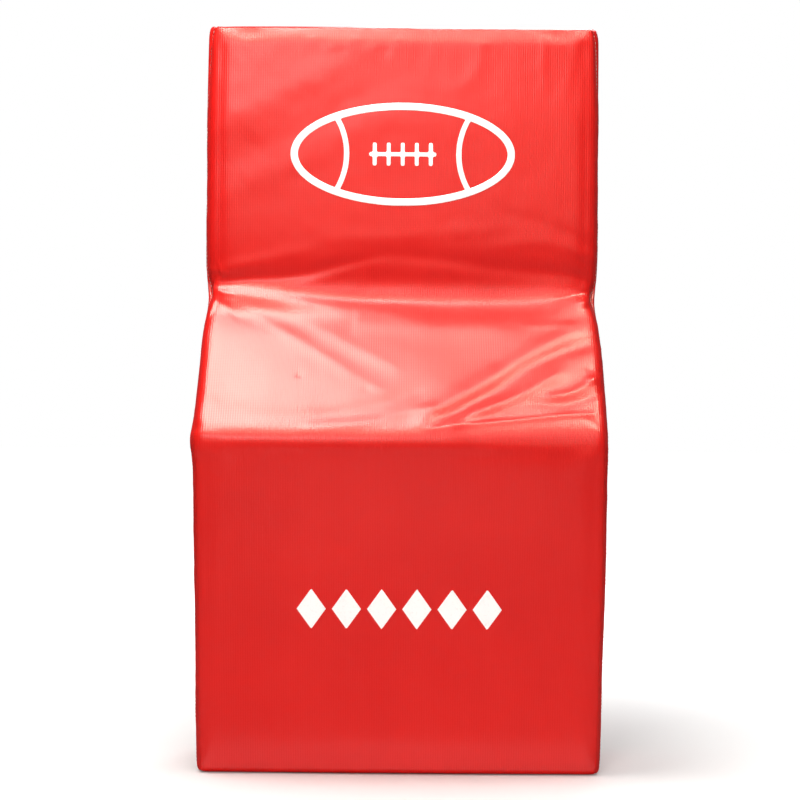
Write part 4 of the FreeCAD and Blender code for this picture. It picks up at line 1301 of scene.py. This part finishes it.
def arm_sleeve(side, loop):
    """The padded sleeve: flat outside, full against the forearm, drawn in at its hemmed ends."""
    reach = math.radians(31) * loop.arc
    count, width, hem_inset = 110, 64 * MM, 11 * MM
    stations, sections = [], []
    for k in range(count + 1):
        share = -1 + 2 * k / count
        stations.append(loop_station(loop, share * reach))
        from_end = (1 - abs(share)) * reach
        full = float(smoothstep(0, 16 * MM, from_end))
        hem = math.exp(-((from_end - hem_inset) / (1.4 * MM)) ** 2)
        lip = float(smoothstep(0, 2.2 * MM, from_end))
        wrinkle = 0.35 * MM * noise.noise(Vector((share * 9, loop.x * 50, 0)))
        inwards = (2.4 + 1.1 * lip + 7.0 * full - 0.9 * hem) * MM + wrinkle * full
        outwards = (1.7 + 0.75 * lip - 0.5 * hem) * MM
        half = width / 2 - (2.2 - 1.0 * lip - 1.2 * full) * MM
        section = []
        for c, s in turns(44):
            a = math.copysign(abs(c) ** 0.45, c) * half
            b = math.copysign(abs(s) ** (0.8 if s < 0 else 0.55), s)
            crown = noise.noise(Vector((share * 14, a * 70, loop.x * 20))) * 0.5 * MM * full
            section.append((a, b * (outwards if s > 0 else inwards) + (crown if s < 0 else 0)))
        sections.append(section)
    piece = sweep(f"arm_strap_{side}_padded_sleeve", stations, sections, KNIT)
    body = f"arm_strap_{side}"
    finish_piece(piece, body, "sleeve_fabric", f"{body}_sleeve", f"{body}_pad")
    rows = []
    for end in (-1, 1):
        at = loop_station(loop, end * (reach - hem_inset))
        seam = [at.centre + at.across * ((k / 26 - 0.5) * (width - 10 * MM)) for k in range(27)]
        rows.append([(place + at.out * 2.05 * MM, at.out) for place in seam])
    stitches(f"arm_strap_{side}_hem_stitches", rows, BLACK_THREAD, body, "sleeve_fabric")


def handle_grip():
    """The moulded grip: ribs across it and a collar at each end."""
    loop = HANDLE_LOOP
    reach = math.radians(36) * loop.arc
    count = 170
    stations, sections = [], []
    for k in range(count + 1):
        share = -1 + 2 * k / count
        along = share * reach
        from_end = reach - abs(along)
        rib = 0.5 + 0.5 * math.cos(2 * math.pi * along / (4.4 * MM))
        rib = float(smoothstep(0.15, 0.75, rib)) * (1 if from_end > 7 * MM else 0)
        collar = float(smoothstep(0, 1.0 * MM, from_end))
        collar *= 1 - float(smoothstep(4.2 * MM, 5.4 * MM, from_end))
        size = 3.05 * MM + (0.75 * rib + 1.15 * collar) * MM
        width = (41.4 + 1.0 * rib + 1.6 * collar) * MM
        stations.append(loop_station(loop, along))
        sections.append(rounded_section(width, size, size - 0.15 * MM, min(size, 3.0 * MM) - 0.2 * MM, 5))
    piece = sweep("carry_handle_ribbed_grip", stations, sections, GRIP_RUBBER)
    finish_piece(piece, "carry_handle", "grip_rubber", "carry_handle_grip")


def back_patches():
    """The vinyl patches under the loops' sewn ends and over the zip's ends."""
    def patch(half_a, half_b, corner, cell, y, bevel, centre, upright=False):
        """A rounded patch with its front and back at y, its first side upright where asked."""
        def where(a, b, height):
            a, b = (b, a) if upright else (a, b)
            return (centre[0] + a, height, centre[1] + b)
        return placed(moulding(rounded_box(half_a, half_b, corner), (-half_a, -half_b), (half_a, half_b),
                               cell, *y, bevel), where)

    def loop_patches(*loops):
        return [patch((loop.tab + PATCH_MARGIN) / 2, loop.width / 2 + PATCH_MARGIN, 10 * MM, 3 * MM,
                      (BACK_Y - 0.3 * MM, PATCH_FACE_Y), 0.9 * MM, sewn_end(loop, side), loop.upright)
                for loop in loops for side in (-1, 1)]

    low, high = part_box("zip_end_patches")
    half_a, half_b = ZIP_PATCH_LENGTH / 2, (high.z - low.z) / 2
    zip_ends = [patch(half_a, half_b, 2.5 * MM, 1.5 * MM, (BACK_Y - 0.6 * MM, high.y), 0.8 * MM,
                      (side * (high.x - half_a), ZIP_Z)) for side in (-1, 1)]
    for what, parts in (("arm_strap", loop_patches(*ARM_LOOPS.values())),
                        ("carry_handle", loop_patches(HANDLE_LOOP)), ("zip_end", zip_ends)):
        piece = new_piece(f"{what}_vinyl_patches", *gather(parts), [VINYL_FACE])
        finish_piece(piece, "shield", "red_vinyl", f"{what}_patches")


# ---- Zip -----------------------------------------------------------------------------------------
ZIP_PATCH_LENGTH = 21 * MM
TOOTH_PITCH, TOOTH_WIDTH = 4.0 * MM, 1.8 * MM
TOOTH_OVERLAP, TOOTH_REACH = 1.8 * MM, 3.4 * MM
CHAIN_HALF = 212 * MM


def zip_tapes():
    """Two woven tapes, each with the cord that its teeth grip."""
    for label, side in (("upper", 1), ("lower", -1)):
        node = f"zip_tape_{label}"
        low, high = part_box(node)
        middle, width = (low + high) / 2, high.z - low.z
        thickness = high.y - low.y
        section = rounded_section(width, thickness / 2, thickness / 2, 0.38 * MM, 2)
        cord_z = -side * (width / 2 - 1.0 * MM)
        section = [(a, b + (0.15 * MM if abs(a - cord_z) < 1.2 * MM and b > 0 else 0)) for a, b in section]
        reach = HALF - BACK_RADIUS - 1 * MM
        stations = [Station(Vector((x, middle.y, middle.z)), Vector((0, 0, 1)), Vector((0, 1, 0)), x)
                    for x in (reach * (k / 80 - 1) for k in range(161))]
        piece = sweep(f"zip_tape_{label}_weave", stations, section, ZIP_TAPE)
        finish_piece(piece, "shield", "zip_tape", node)


def zip_teeth():
    """One moulded tooth, with a waist behind its head, repeated along both tapes."""
    low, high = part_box("zip_teeth_upper")
    head = disc(0.98 * MM, (0.0, -TOOTH_OVERLAP + 1.0 * MM))
    waist = rounded_box(0.62 * MM, 1.5 * MM, 0.2 * MM, (0.0, 0.6 * MM))
    foot = rounded_box(TOOTH_WIDTH / 2, 1.05 * MM, 0.35 * MM, (0.0, TOOTH_REACH - 1.05 * MM))
    tooth = moulding(union(head, waist, foot), (-1.0 * MM, -TOOTH_OVERLAP), (1.0 * MM, TOOTH_REACH),
                     0.42 * MM, low.y, high.y, 0.45 * MM)
    for label, side in (("upper", 1), ("lower", -1)):
        row = []
        offset = TOOTH_PITCH / 4 * (1 - side) + TOOTH_WIDTH / 2
        for k in range(int(2 * CHAIN_HALF / TOOTH_PITCH)):
            x = -CHAIN_HALF + k * TOOTH_PITCH + offset
            row.append(placed(tooth, lambda a, b, h, x=x: (x + a, h, ZIP_Z + side * b)))
        piece = new_piece(f"zip_teeth_{label}_moulded", *gather(row), [ZIP_PLASTIC])
        finish_piece(piece, "shield", "zip_teeth", f"zip_teeth_{label}")


def zip_stops():
    """A moulded stop across each end of the chain."""
    low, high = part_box("zip_end_stops")
    half_a, half_b = 1.5 * MM, (high.z - low.z) / 2
    shape = moulding(rounded_box(half_a, half_b, 0.8 * MM), (-half_a, -half_b), (half_a, half_b), 0.4 * MM,
                     low.y, high.y, 0.5 * MM)
    stops = [placed(shape, lambda a, b, h, x=x: (x + a, h, ZIP_Z + b))
             for x in (low.x + half_a, high.x - half_a)]
    finish_piece(new_piece("zip_moulded_stops", *gather(stops), [ZIP_PLASTIC]), "shield", "zip_teeth",
                 "zip_end_stops")


def zip_slider():
    """Two plates with turned-in flanges, and an arched bridge on the outer one."""
    low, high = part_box("zip_slider")
    middle_x = (low.x + high.x) / 2
    half_length, half_width = (high.x - low.x) / 2, (high.z - low.z) / 2
    plate_top = high.y - 5.0 * MM

    def plate_outline(a, b):
        waist = half_width - 1.5 * MM * smoothstep(-0.2, 1.0, -a / half_length)
        body = rounded_box(half_length, half_width, 2.6 * MM)(a, b)
        return np.minimum(body, waist - np.abs(b))

    def where(a, b, height):
        return (middle_x + a, height, ZIP_Z + b)

    corner = (half_length, half_width)
    parts = []
    for outwards, face in ((1, plate_top), (-1, low.y)):
        inner = face - outwards * 1.2 * MM
        plate = moulding(plate_outline, (-corner[0], -corner[1]), corner, 0.55 * MM, min(face, inner),
                         max(face, inner), 0.45 * MM)
        parts.append(placed(plate, where))
        lip = face - outwards * (2.2 if outwards > 0 else 1.9) * MM
        for side in (-1, 1):
            flange = rounded_box(half_length - 1.6 * MM, 0.7 * MM, 0.5 * MM,
                                 (0.9 * MM, side * (half_width - 0.85 * MM)))
            made = moulding(flange, (-corner[0], -corner[1]), corner, 0.4 * MM, min(lip, inner),
                            max(lip, inner), 0.3 * MM)
            parts.append(placed(made, where))
    arch, legs = [], 24
    for k in range(legs + 1):
        c, s = math.cos(math.pi * k / legs), math.sin(math.pi * k / legs)
        along = math.copysign(abs(c) ** 0.6, c) * 3.4 * MM
        up = max(s, 0.0) ** 0.6 * 4.3 * MM
        arch.append(Vector((middle_x + along, plate_top - 0.2 * MM + up, ZIP_Z)))
    verts, steps = [], 12
    for k, centre in enumerate(arch):
        tangent = (arch[min(k + 1, legs)] - arch[max(k - 1, 0)]).normalized()
        out = tangent.cross(Vector((0, 0, 1)))
        verts += [centre + out * 0.68 * MM * c + Vector((0, 0, 1.45 * MM * s)) for c, s in turns(steps)]
    parts.append((verts, tube_faces(len(arch), steps)))
    piece = tidy_normals(new_piece("zip_cast_slider", *gather(parts), [ZIP_METAL]))
    finish_piece(piece, "zip_slider", "zip_metal", "zip_slider")


def zip_pull():
    """The pull: a tapered plate, open at one end round a turned bar, with a thumb hole at the other."""
    low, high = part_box("zip_pull")
    axis_x, middle_y = high.x - 0.9 * MM, (low.y + high.y) / 2
    length, half_width = axis_x - low.x, (high.z - low.z) / 2
    blade = rounded_box(length / 2, half_width, 3.6 * MM, (-length / 2, 0.0))

    def tapered(a, b):
        return np.minimum(blade(a, b), half_width - 0.9 * MM * smoothstep(-0.012, -0.004, a) - np.abs(b))

    window = rounded_box(4.6 * MM, 2.2 * MM, 0.9 * MM, (-3.4 * MM, 0.0))
    hole = disc(2.2 * MM, (5 * MM - length, 0.0))
    grip = rounded_box(5.5 * MM, 2.6 * MM, 1.2 * MM, (-17.5 * MM, 0.0))
    outline = without(tapered, window, hole)
    verts, faces = moulding(outline, (-length, -half_width), (0.0, half_width), 0.42 * MM,
                            middle_y - 0.8 * MM, middle_y + 0.8 * MM, 0.5 * MM)
    sunk = []
    for a, b, height in verts:
        depth = float(grip(np.array(a), np.array(b)))
        sink = 0.35 * MM * float(smoothstep(0, 0.6 * MM, depth))
        sunk.append((a, b, height - math.copysign(sink, height - middle_y)))
    plate = placed((sunk, faces), lambda a, b, h: (axis_x + a, h, ZIP_Z + b))
    profile = [(-half_width + 0.9 * MM, 0.55 * MM), (-half_width + 1.1 * MM, 0.85 * MM),
               (half_width - 1.1 * MM, 0.85 * MM), (half_width - 0.9 * MM, 0.55 * MM)]
    steps = 16
    bar = [(axis_x + radius * c, middle_y + radius * s, ZIP_Z + z)
           for z, radius in profile for c, s in turns(steps)]
    parts = [plate, (bar, tube_faces(len(profile), steps))]
    piece = tidy_normals(new_piece("zip_cast_pull", *gather(parts), [ZIP_METAL]))
    finish_piece(piece, "zip_pull", "zip_metal", "zip_pull")


# ---- Vent eyelets --------------------------------------------------------------------------------
# Each point is (from the vent's middle, out from the gusset), in millimetres.
EYELET_PROFILE = [(4.0, -1.9), (4.0, -0.1), (4.15, 0.35), (4.6, 0.68), (5.3, 0.8), (6.6, 0.76), (7.7, 0.56),
                  (8.3, 0.25), (8.5, -0.1), (7.2, -0.25), (4.8, -0.3), (4.75, -1.9)]
VENT_BORE = 4.5 * MM


def eyelets():
    """The four eyelets, each its profile turned about the vent's middle."""
    parts, steps = [], 56
    faces = tube_faces(steps, len(EYELET_PROFILE), closed=True)
    for side in (-1, 1):
        for z in VENT_HEIGHTS:
            verts = [(side * (HALF + rise * MM), VENT_Y + radius * MM * c, z + radius * MM * s * side)
                     for c, s in turns(steps) for radius, rise in EYELET_PROFILE]
            parts.append((verts, faces))
    piece = tidy_normals(new_piece("vent_rolled_eyelets", *gather(parts), [EYELET_METAL]))
    finish_piece(piece, "shield", "eyelet_metal", "vent_eyelets")


def bore_vents(panel, side):
    """Cuts the eyelets' holes through a side gusset."""
    pins = bmesh.new()
    on_its_side = Vector((0, 0, 1)).rotation_difference(Vector((1, 0, 0))).to_matrix()
    for z in VENT_HEIGHTS:
        made = bmesh.ops.create_cone(pins, cap_ends=True, segments=40, radius1=VENT_BORE,
                                     radius2=VENT_BORE, depth=16 * MM)
        bmesh.ops.rotate(pins, verts=made["verts"], matrix=on_its_side)
        bmesh.ops.translate(pins, verts=made["verts"], vec=(side * HALF, VENT_Y, z))
    cutter = piece_from("vent_cutter", pins)
    bore = panel.modifiers.new("vents", "BOOLEAN")
    bore.operation = "DIFFERENCE"
    bore.object = cutter
    bake_modifiers(panel)
    bpy.data.objects.remove(cutter)


# ---- Prints --------------------------------------------------------------------------------------
OVAL_LINE = 9 * MM
LOZENGE_COUNT, LOZENGE_PITCH = 6, 41 * MM
LOZENGE_HALF = (17 * MM, 24 * MM)
FILM = 0.2 * MM
FILM_PROUD = 0.28 * MM


def oval_emblem(half_a, half_b):
    """A plain ball: an oval outline, a curved band near each end and a row of laces."""
    def ellipse(a, b):
        k0 = np.hypot(a / half_a, b / half_b)
        k1 = np.maximum(np.hypot(a / half_a ** 2, b / half_b ** 2), 1e-9)
        return -k0 * (k0 - 1) / k1

    def ring(a, b):
        depth = ellipse(a, b)
        return np.minimum(depth, OVAL_LINE - depth)

    def band(side):
        def outline(a, b):
            off = np.hypot(a - side * 1.12 * half_a, b) - 0.62 * half_a
            return np.minimum(3.2 * MM - np.abs(off), ellipse(a, b))
        return outline

    laces = [rounded_box(0.3 * half_a, 2.4 * MM, 1.2 * MM)]
    laces += [rounded_box(2.4 * MM, 14 * MM, 1.2 * MM, (k * 0.125 * half_a, 0.0)) for k in range(-2, 3)]
    return union(ring, band(-1), band(1), *laces)


def lozenge_row(a, b):
    """The outline of a row of lozenges."""
    slope = math.hypot(1 / LOZENGE_HALF[0], 1 / LOZENGE_HALF[1])
    middles = [(k - (LOZENGE_COUNT - 1) / 2) * LOZENGE_PITCH for k in range(LOZENGE_COUNT)]
    return np.maximum.reduce([(1 - np.abs(a - middle) / LOZENGE_HALF[0] - np.abs(b) / LOZENGE_HALF[1]) / slope
                              for middle in middles])


def print_on(name, node, outline, surface, cell=1.6 * MM):
    """A film that follows the face panel, a little proud of it."""
    low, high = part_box(node)
    centre = (low + high) / 2
    half = ((high.x - low.x) / 2 + cell, (high.z - low.z) / 2 + cell)
    places, _, faces = contour(outline, (-half[0], -half[1]), half, cell)
    verts = []
    for a, b in places:
        hit, normal, _, _ = surface.ray_cast(Vector((centre.x + a, -1.0, centre.z + b)), Vector((0, 1, 0)))
        normal = normal if normal.y < 0 else -normal
        verts.append(hit + normal * FILM_PROUD)
    piece = new_piece(name, verts, faces, [PRINT])
    solidify = piece.modifiers.new("film", "SOLIDIFY")
    solidify.thickness = FILM
    tidy_normals(piece)
    bake_modifiers(piece)
    finish_piece(piece, "shield", "white_print", node)


# ---- Stitches ------------------------------------------------------------------------------------
STITCH_PITCH, STITCH_LENGTH, THREAD_RADIUS = 4.6 * MM, 3.5 * MM, 0.36 * MM
ZIP_ROW_HALF = 214 * MM     # half the length of the stitching beside the zip
# A stitch's rings as (along, in stitch lengths; thickness and height, in thread radii).
STITCH_SHAPE = [(-0.5, 0.35, -1.2), (-0.44, 0.8, -0.2), (-0.25, 1.0, 0.35), (0.0, 1.0, 0.5),
                (0.25, 1.0, 0.35), (0.44, 0.8, -0.2), (0.5, 0.35, -1.2)]


def stitches(name, rows, material, body, slot, pitch=STITCH_PITCH):
    """Rows of short stitches as one piece. A row is a list of (place, outward direction)."""
    parts = []
    circle = turns(6)
    shell = tube_faces(len(STITCH_SHAPE), len(circle))
    for row in rows:
        points = [Vector(p) for p, _ in row]
        lengths = [0.0]
        for a, b in zip(points, points[1:]):
            lengths.append(lengths[-1] + (b - a).length)
        count = max(1, int(lengths[-1] / pitch))
        leg = 0
        for k in range(count):
            along = (k + 0.5) * lengths[-1] / count
            while lengths[leg + 1] < along:
                leg += 1
            t = (along - lengths[leg]) / max(lengths[leg + 1] - lengths[leg], 1e-9)
            centre = points[leg].lerp(points[leg + 1], t)
            tangent = (points[leg + 1] - points[leg]).normalized()
            out = Vector(row[leg][1]).lerp(Vector(row[leg + 1][1]), t)
            out = (out - tangent * out.dot(tangent)).normalized()
            side = tangent.cross(out)
            tangent = (tangent + side * random.uniform(-0.07, 0.07)).normalized()
            verts = []
            for place, thick, lift in STITCH_SHAPE:
                ring = centre + tangent * place * STITCH_LENGTH + out * lift * THREAD_RADIUS
                verts += [ring + (side * c + out * s) * thick * THREAD_RADIUS for c, s in circle]
            parts.append((verts, shell))
    verts, faces = gather(parts)
    piece = new_piece(name, [(x, y, max(z, 0.0)) for x, y, z in verts], faces, [material])
    return finish_piece(tidy_normals(piece), body, slot)


def seam_row(chain, mesh, surface, panel, offset=2.8 * MM, every=3):
    """A row of stitches beside a seam, on one of its two panels."""
    points = [mesh.vertices[v].co.copy() for v in chain]
    points = points[::every] + [points[-1]]
    wanted = PANELS.index(panel)
    row = []
    for k, point in enumerate(points):
        tangent = (points[min(k + 1, len(points) - 1)] - points[max(k - 1, 0)]).normalized()
        _, normal, _, _ = surface.find_nearest(point)
        beside = normal.cross(tangent).normalized() * offset
        chosen = None
        for candidate in (point + beside, point - beside):
            hit, normal, face, _ = surface.find_nearest(candidate)
            if mesh.polygons[face].material_index == wanted:
                chosen = (hit, normal)
        if chosen:
            row.append(chosen)
    return row


def outline_row(centre, half_x, half_z, corner, y):
    """A row of stitches round a rounded rectangle that lies flat on the back."""
    row = []
    for a, b in rounded_section(2 * half_x, half_z, half_z, corner, 5):
        row.append(((centre[0] + a, y, centre[1] + b), (0, 1, 0)))
    return row + row[:1]


def sew_cover(mesh, surface, chains):
    """Stitches beside the cover's seams and along the zip's tapes."""
    sides, level, back = [], [], []
    for pair, chain in chains.items():
        names = set(pair)
        if "zip_window" in names or names == {"back_panel_upper", "back_panel_lower"}:
            continue
        side_of = [n for n in pair if n.startswith("side")]
        back_of = [n for n in pair if n.startswith("back")]
        if "front_panel" in names:
            target, panel = (sides if side_of else level), "front_panel"
        elif back_of:
            target, panel = back, back_of[0]
        else:
            target, panel = level, side_of[0]
        target.append(seam_row(chain, mesh, surface, panel))
    for edge, away in ((WINDOW_LOW, -1), (WINDOW_HIGH, 1)):
        for distance in (3 * MM, 8 * MM):
            row = []
            for k in range(61):
                x = ZIP_ROW_HALF * (k / 30 - 1)
                row.append(surface.find_nearest(Vector((x, BACK_Y, edge + away * distance)))[:2])
            back.append(row)
    # The face's side seams are sewn in the thread painted pale as a glint; the other seams are sewn in red.
    for name, rows, material in (("face_side", sides, GLINT_PAINTED_THREAD), ("face_end", level, RED_THREAD),
                                 ("back", back, RED_THREAD)):
        stitches(f"{name}_seam_stitches", [row for row in rows if len(row) > 2], material,
                 "shield", "red_vinyl")


def sew_patches():
    """Stitches round the patches, and boxed crosses through the loops' sewn ends."""
    patch_rows, tab_rows = [], []
    top = SEAT_Y + WEBBING_THICKNESS / 2
    for loop in [*ARM_LOOPS.values(), HANDLE_LOOP]:
        patch_half = ((loop.tab + PATCH_MARGIN) / 2 - 4 * MM, loop.width / 2 + PATCH_MARGIN - 4 * MM)
        tab_half = (loop.tab / 2 - 5 * MM, loop.width / 2 - 5 * MM)
        if loop.upright:
            patch_half, tab_half = patch_half[::-1], tab_half[::-1]
        for side in (-1, 1):
            centre = sewn_end(loop, side)
            patch_rows.append(outline_row(centre, *patch_half, 6 * MM, PATCH_FACE_Y))
            tab_rows.append(outline_row(centre, *tab_half, 0.5 * MM, top))
            for sign in (-1, 1):
                tab_rows.append([((centre[0] + s * tab_half[0], top, centre[1] + sign * s * tab_half[1]),
                                  (0, 1, 0)) for s in (-1, 1)])
    low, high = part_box("zip_end_patches")
    for side in (-1, 1):
        centre = (side * (high.x - ZIP_PATCH_LENGTH / 2), ZIP_Z)
        patch_rows.append(outline_row(centre, ZIP_PATCH_LENGTH / 2 - 2.5 * MM,
                                      (high.z - low.z) / 2 - 2.5 * MM, 1 * MM, high.y))
    stitches("patch_border_stitches", patch_rows, RED_THREAD, "shield", "red_vinyl")
    stitches("tab_box_stitches", tab_rows, BLACK_THREAD, "shield", "webbing", pitch=4.0 * MM)


# ---- Camera, lights and floor --------------------------------------------------------------------
CAMERA_PLACE = (-1.0 * MM, RIDGE_Y - 2.1, 0.444)
CAMERA_LENS = 82.3
CAMERA_ROLL = 0.45          # degrees
FLOOR_REACH = 14.0          # metres
WARM = (1.0, 0.98, 0.94)
SHEEN = (1.0, 0.94, 0.70)


def add_camera():
    camera = in_scene("camera", bpy.data.cameras.new("camera"))
    camera.location = CAMERA_PLACE
    camera.rotation_euler = (math.radians(90), math.radians(-CAMERA_ROLL), 0)
    camera.data.lens = CAMERA_LENS
    camera.data.sensor_width = 36.0
    camera.data.clip_end = 60.0
    bpy.context.scene.camera = camera


def softbox(name, place, target, width, height, power, colour=(1, 1, 1), diffuse=True, gloss=True):
    """A soft rectangular light at a place, turned to its target, that the camera doesn't see."""
    light = bpy.data.lights.new(name, "AREA")
    light.shape = "RECTANGLE"
    light.size, light.size_y = width, height
    light.energy = power
    light.color = colour
    lamp = in_scene(name, light)
    lamp.location = place
    lamp.rotation_euler = (Vector(target) - Vector(place)).to_track_quat("-Z", "Y").to_euler()
    lamp.visible_diffuse, lamp.visible_glossy = diffuse, gloss
    lamp.visible_camera = False


def add_world():
    """White to the camera, and dimmer as light on the object and in its gloss."""
    world = bpy.data.worlds.new("studio")
    bpy.context.scene.world = world
    world.use_nodes = True
    tree = world.node_tree
    rays, last = tree.nodes.new("ShaderNodeLightPath"), tree.nodes["Background"]
    last.inputs["Color"].default_value = (1.0, 0.99, 0.985, 1)
    last.inputs["Strength"].default_value = 0.22
    for kind, strength in (("Is Glossy Ray", 0.10), ("Is Camera Ray", 1.0)):
        other, mix = tree.nodes.new("ShaderNodeBackground"), tree.nodes.new("ShaderNodeMixShader")
        other.inputs["Color"].default_value = (1, 1, 1, 1)
        other.inputs["Strength"].default_value = strength
        tree.links.new(rays.outputs[kind], mix.inputs["Fac"])
        tree.links.new(last.outputs[0], mix.inputs[1])
        tree.links.new(other.outputs[0], mix.inputs[2])
        last = mix
    tree.links.new(last.outputs[0], tree.nodes["World Output"].inputs["Surface"])


def add_floor():
    """A pale round floor that glows more the further out it is, so that it fades into the white."""
    verts = [(FLOOR_REACH * c, FLOOR_REACH * s, -0.3 * MM) for c, s in turns(64)]
    floor = new_piece("studio_floor", verts, [list(range(len(verts)))], smooth=False)
    m = Nodes("studio_floor")
    coords, (x, y, _) = m.place()
    m.join(m.ramp(m.noise(coords, 8.0, 2.0), [(0.3, (0.80, 0.80, 0.80)), (0.7, (0.82, 0.82, 0.82))]),
           m.shader.inputs["Base Color"])
    m.set(Roughness=0.85, Specular_IOR_Level=0.1)
    away = m.maths("SQRT", m.maths("ADD", m.maths("MULTIPLY", x, x), m.maths("MULTIPLY", y, y)))
    glow = m.add("ShaderNodeMapRange", From_Min=0.1, From_Max=1.0, To_Min=0.0, To_Max=0.9)
    m.join(away, glow.inputs["Value"])
    rays = m.add("ShaderNodeLightPath")
    m.shader.inputs["Emission Color"].default_value = (1, 1, 1, 1)
    m.join(m.maths("MULTIPLY", glow.outputs["Result"], rays.outputs["Is Camera Ray"]),
           m.shader.inputs["Emission Strength"])
    # In the object's gloss the floor is darker than it looks.
    dim, mix = m.add("ShaderNodeBsdfDiffuse", Color=(0.08, 0.08, 0.08, 1)), m.add("ShaderNodeMixShader")
    m.join(rays.outputs["Is Glossy Ray"], mix.inputs["Fac"])
    m.join(m.shader.outputs[0], mix.inputs[1])
    m.join(dim.outputs[0], mix.inputs[2])
    m.join(mix.outputs[0], m.tree.nodes["Material Output"].inputs["Surface"])
    floor.data.materials.append(m.material)


def add_studio():
    bpy.context.scene.view_settings.view_transform = "Standard"
    add_camera()
    add_world()
    add_floor()
    left_of_slope = (-0.15, -0.1, 0.5)
    softbox("overhead_left", (-0.32, -0.32, 1.65), left_of_slope, 0.75, 0.40, 18, WARM)
    softbox("overhead_right", (0.42, -0.32, 1.65), (0.2, -0.1, 0.5), 0.60, 0.40, 3, WARM)
    softbox("sheen_left", (-0.38, -0.375, 1.65), left_of_slope, 0.66, 0.34, 10.5, SHEEN, diffuse=False)
    softbox("sheen_right", (0.52, -0.44, 1.65), (0.25, -0.1, 0.5), 0.40, 0.26, 11, SHEEN, diffuse=False)
    softbox("ridge_sheen", (-0.15, -1.05, 1.70), (-0.1, -0.15, 0.41), 0.75, 0.50, 10, SHEEN, diffuse=False)
    softbox("front_fill", (0.9, -2.7, 2.9), (0, 0, 0.45), 1.6, 1.2, 13, WARM)
    softbox("left_fill", (-0.45, -2.3, 1.65), (0, 0, 0.65), 0.55, 0.55, 18, WARM)
    softbox("face_sheen", (0.15, -2.3, 0.98), (0, 0, 0.7), 1.30, 0.50, 4.0, SHEEN, diffuse=False)
    softbox("base_fill", (0, -0.9, 0.06), (0, BASE_FRONT_Y, 0.10), 0.60, 0.08, 1.6, WARM, gloss=False)
    strip_y = BASE_FRONT_Y - 0.037
    softbox("floor_sheen", (0, strip_y, 0.003), (0, strip_y, 1), 0.50, 0.07, 0.12, diffuse=False)
    softbox("back_fill", (0.6, 2.6, 2.2), (0, 0, 0.5), 1.6, 1.4, 30)


# ---- The whole shield ----------------------------------------------------------------------------
add_studio()
cover, chains, panels = build_cover()
surface = BVHTree.FromObject(cover, bpy.context.evaluated_depsgraph_get())
for side, name in ((-1, "left"), (1, "right")):
    bore_vents(panels[f"side_gusset_{name}"], side)
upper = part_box("upper_print")
print_on("upper_print_film", "upper_print",
         oval_emblem((upper[1].x - upper[0].x) / 2, (upper[1].z - upper[0].z) / 2), surface)
print_on("lower_print_film", "lower_print", lozenge_row, surface)
sew_cover(cover.data, surface, chains)
sew_patches()
back_patches()
for side, loop in ARM_LOOPS.items():
    body = f"arm_strap_{side}"
    webbing_halves(body, loop, body, f"{body}_webbing", f"{body}_anchors")
    arm_sleeve(side, loop)
webbing_halves("carry_handle", HANDLE_LOOP, "carry_handle", "carry_handle_webbing",
               "carry_handle_anchors")
handle_grip()
zip_tapes()
zip_teeth()
zip_stops()
zip_slider()
zip_pull()
eyelets()
washers = bpy.data.objects["vent_washers"].data
washers.materials.clear()
washers.materials.append(EYELET_METAL)
bpy.data.objects.remove(cover)
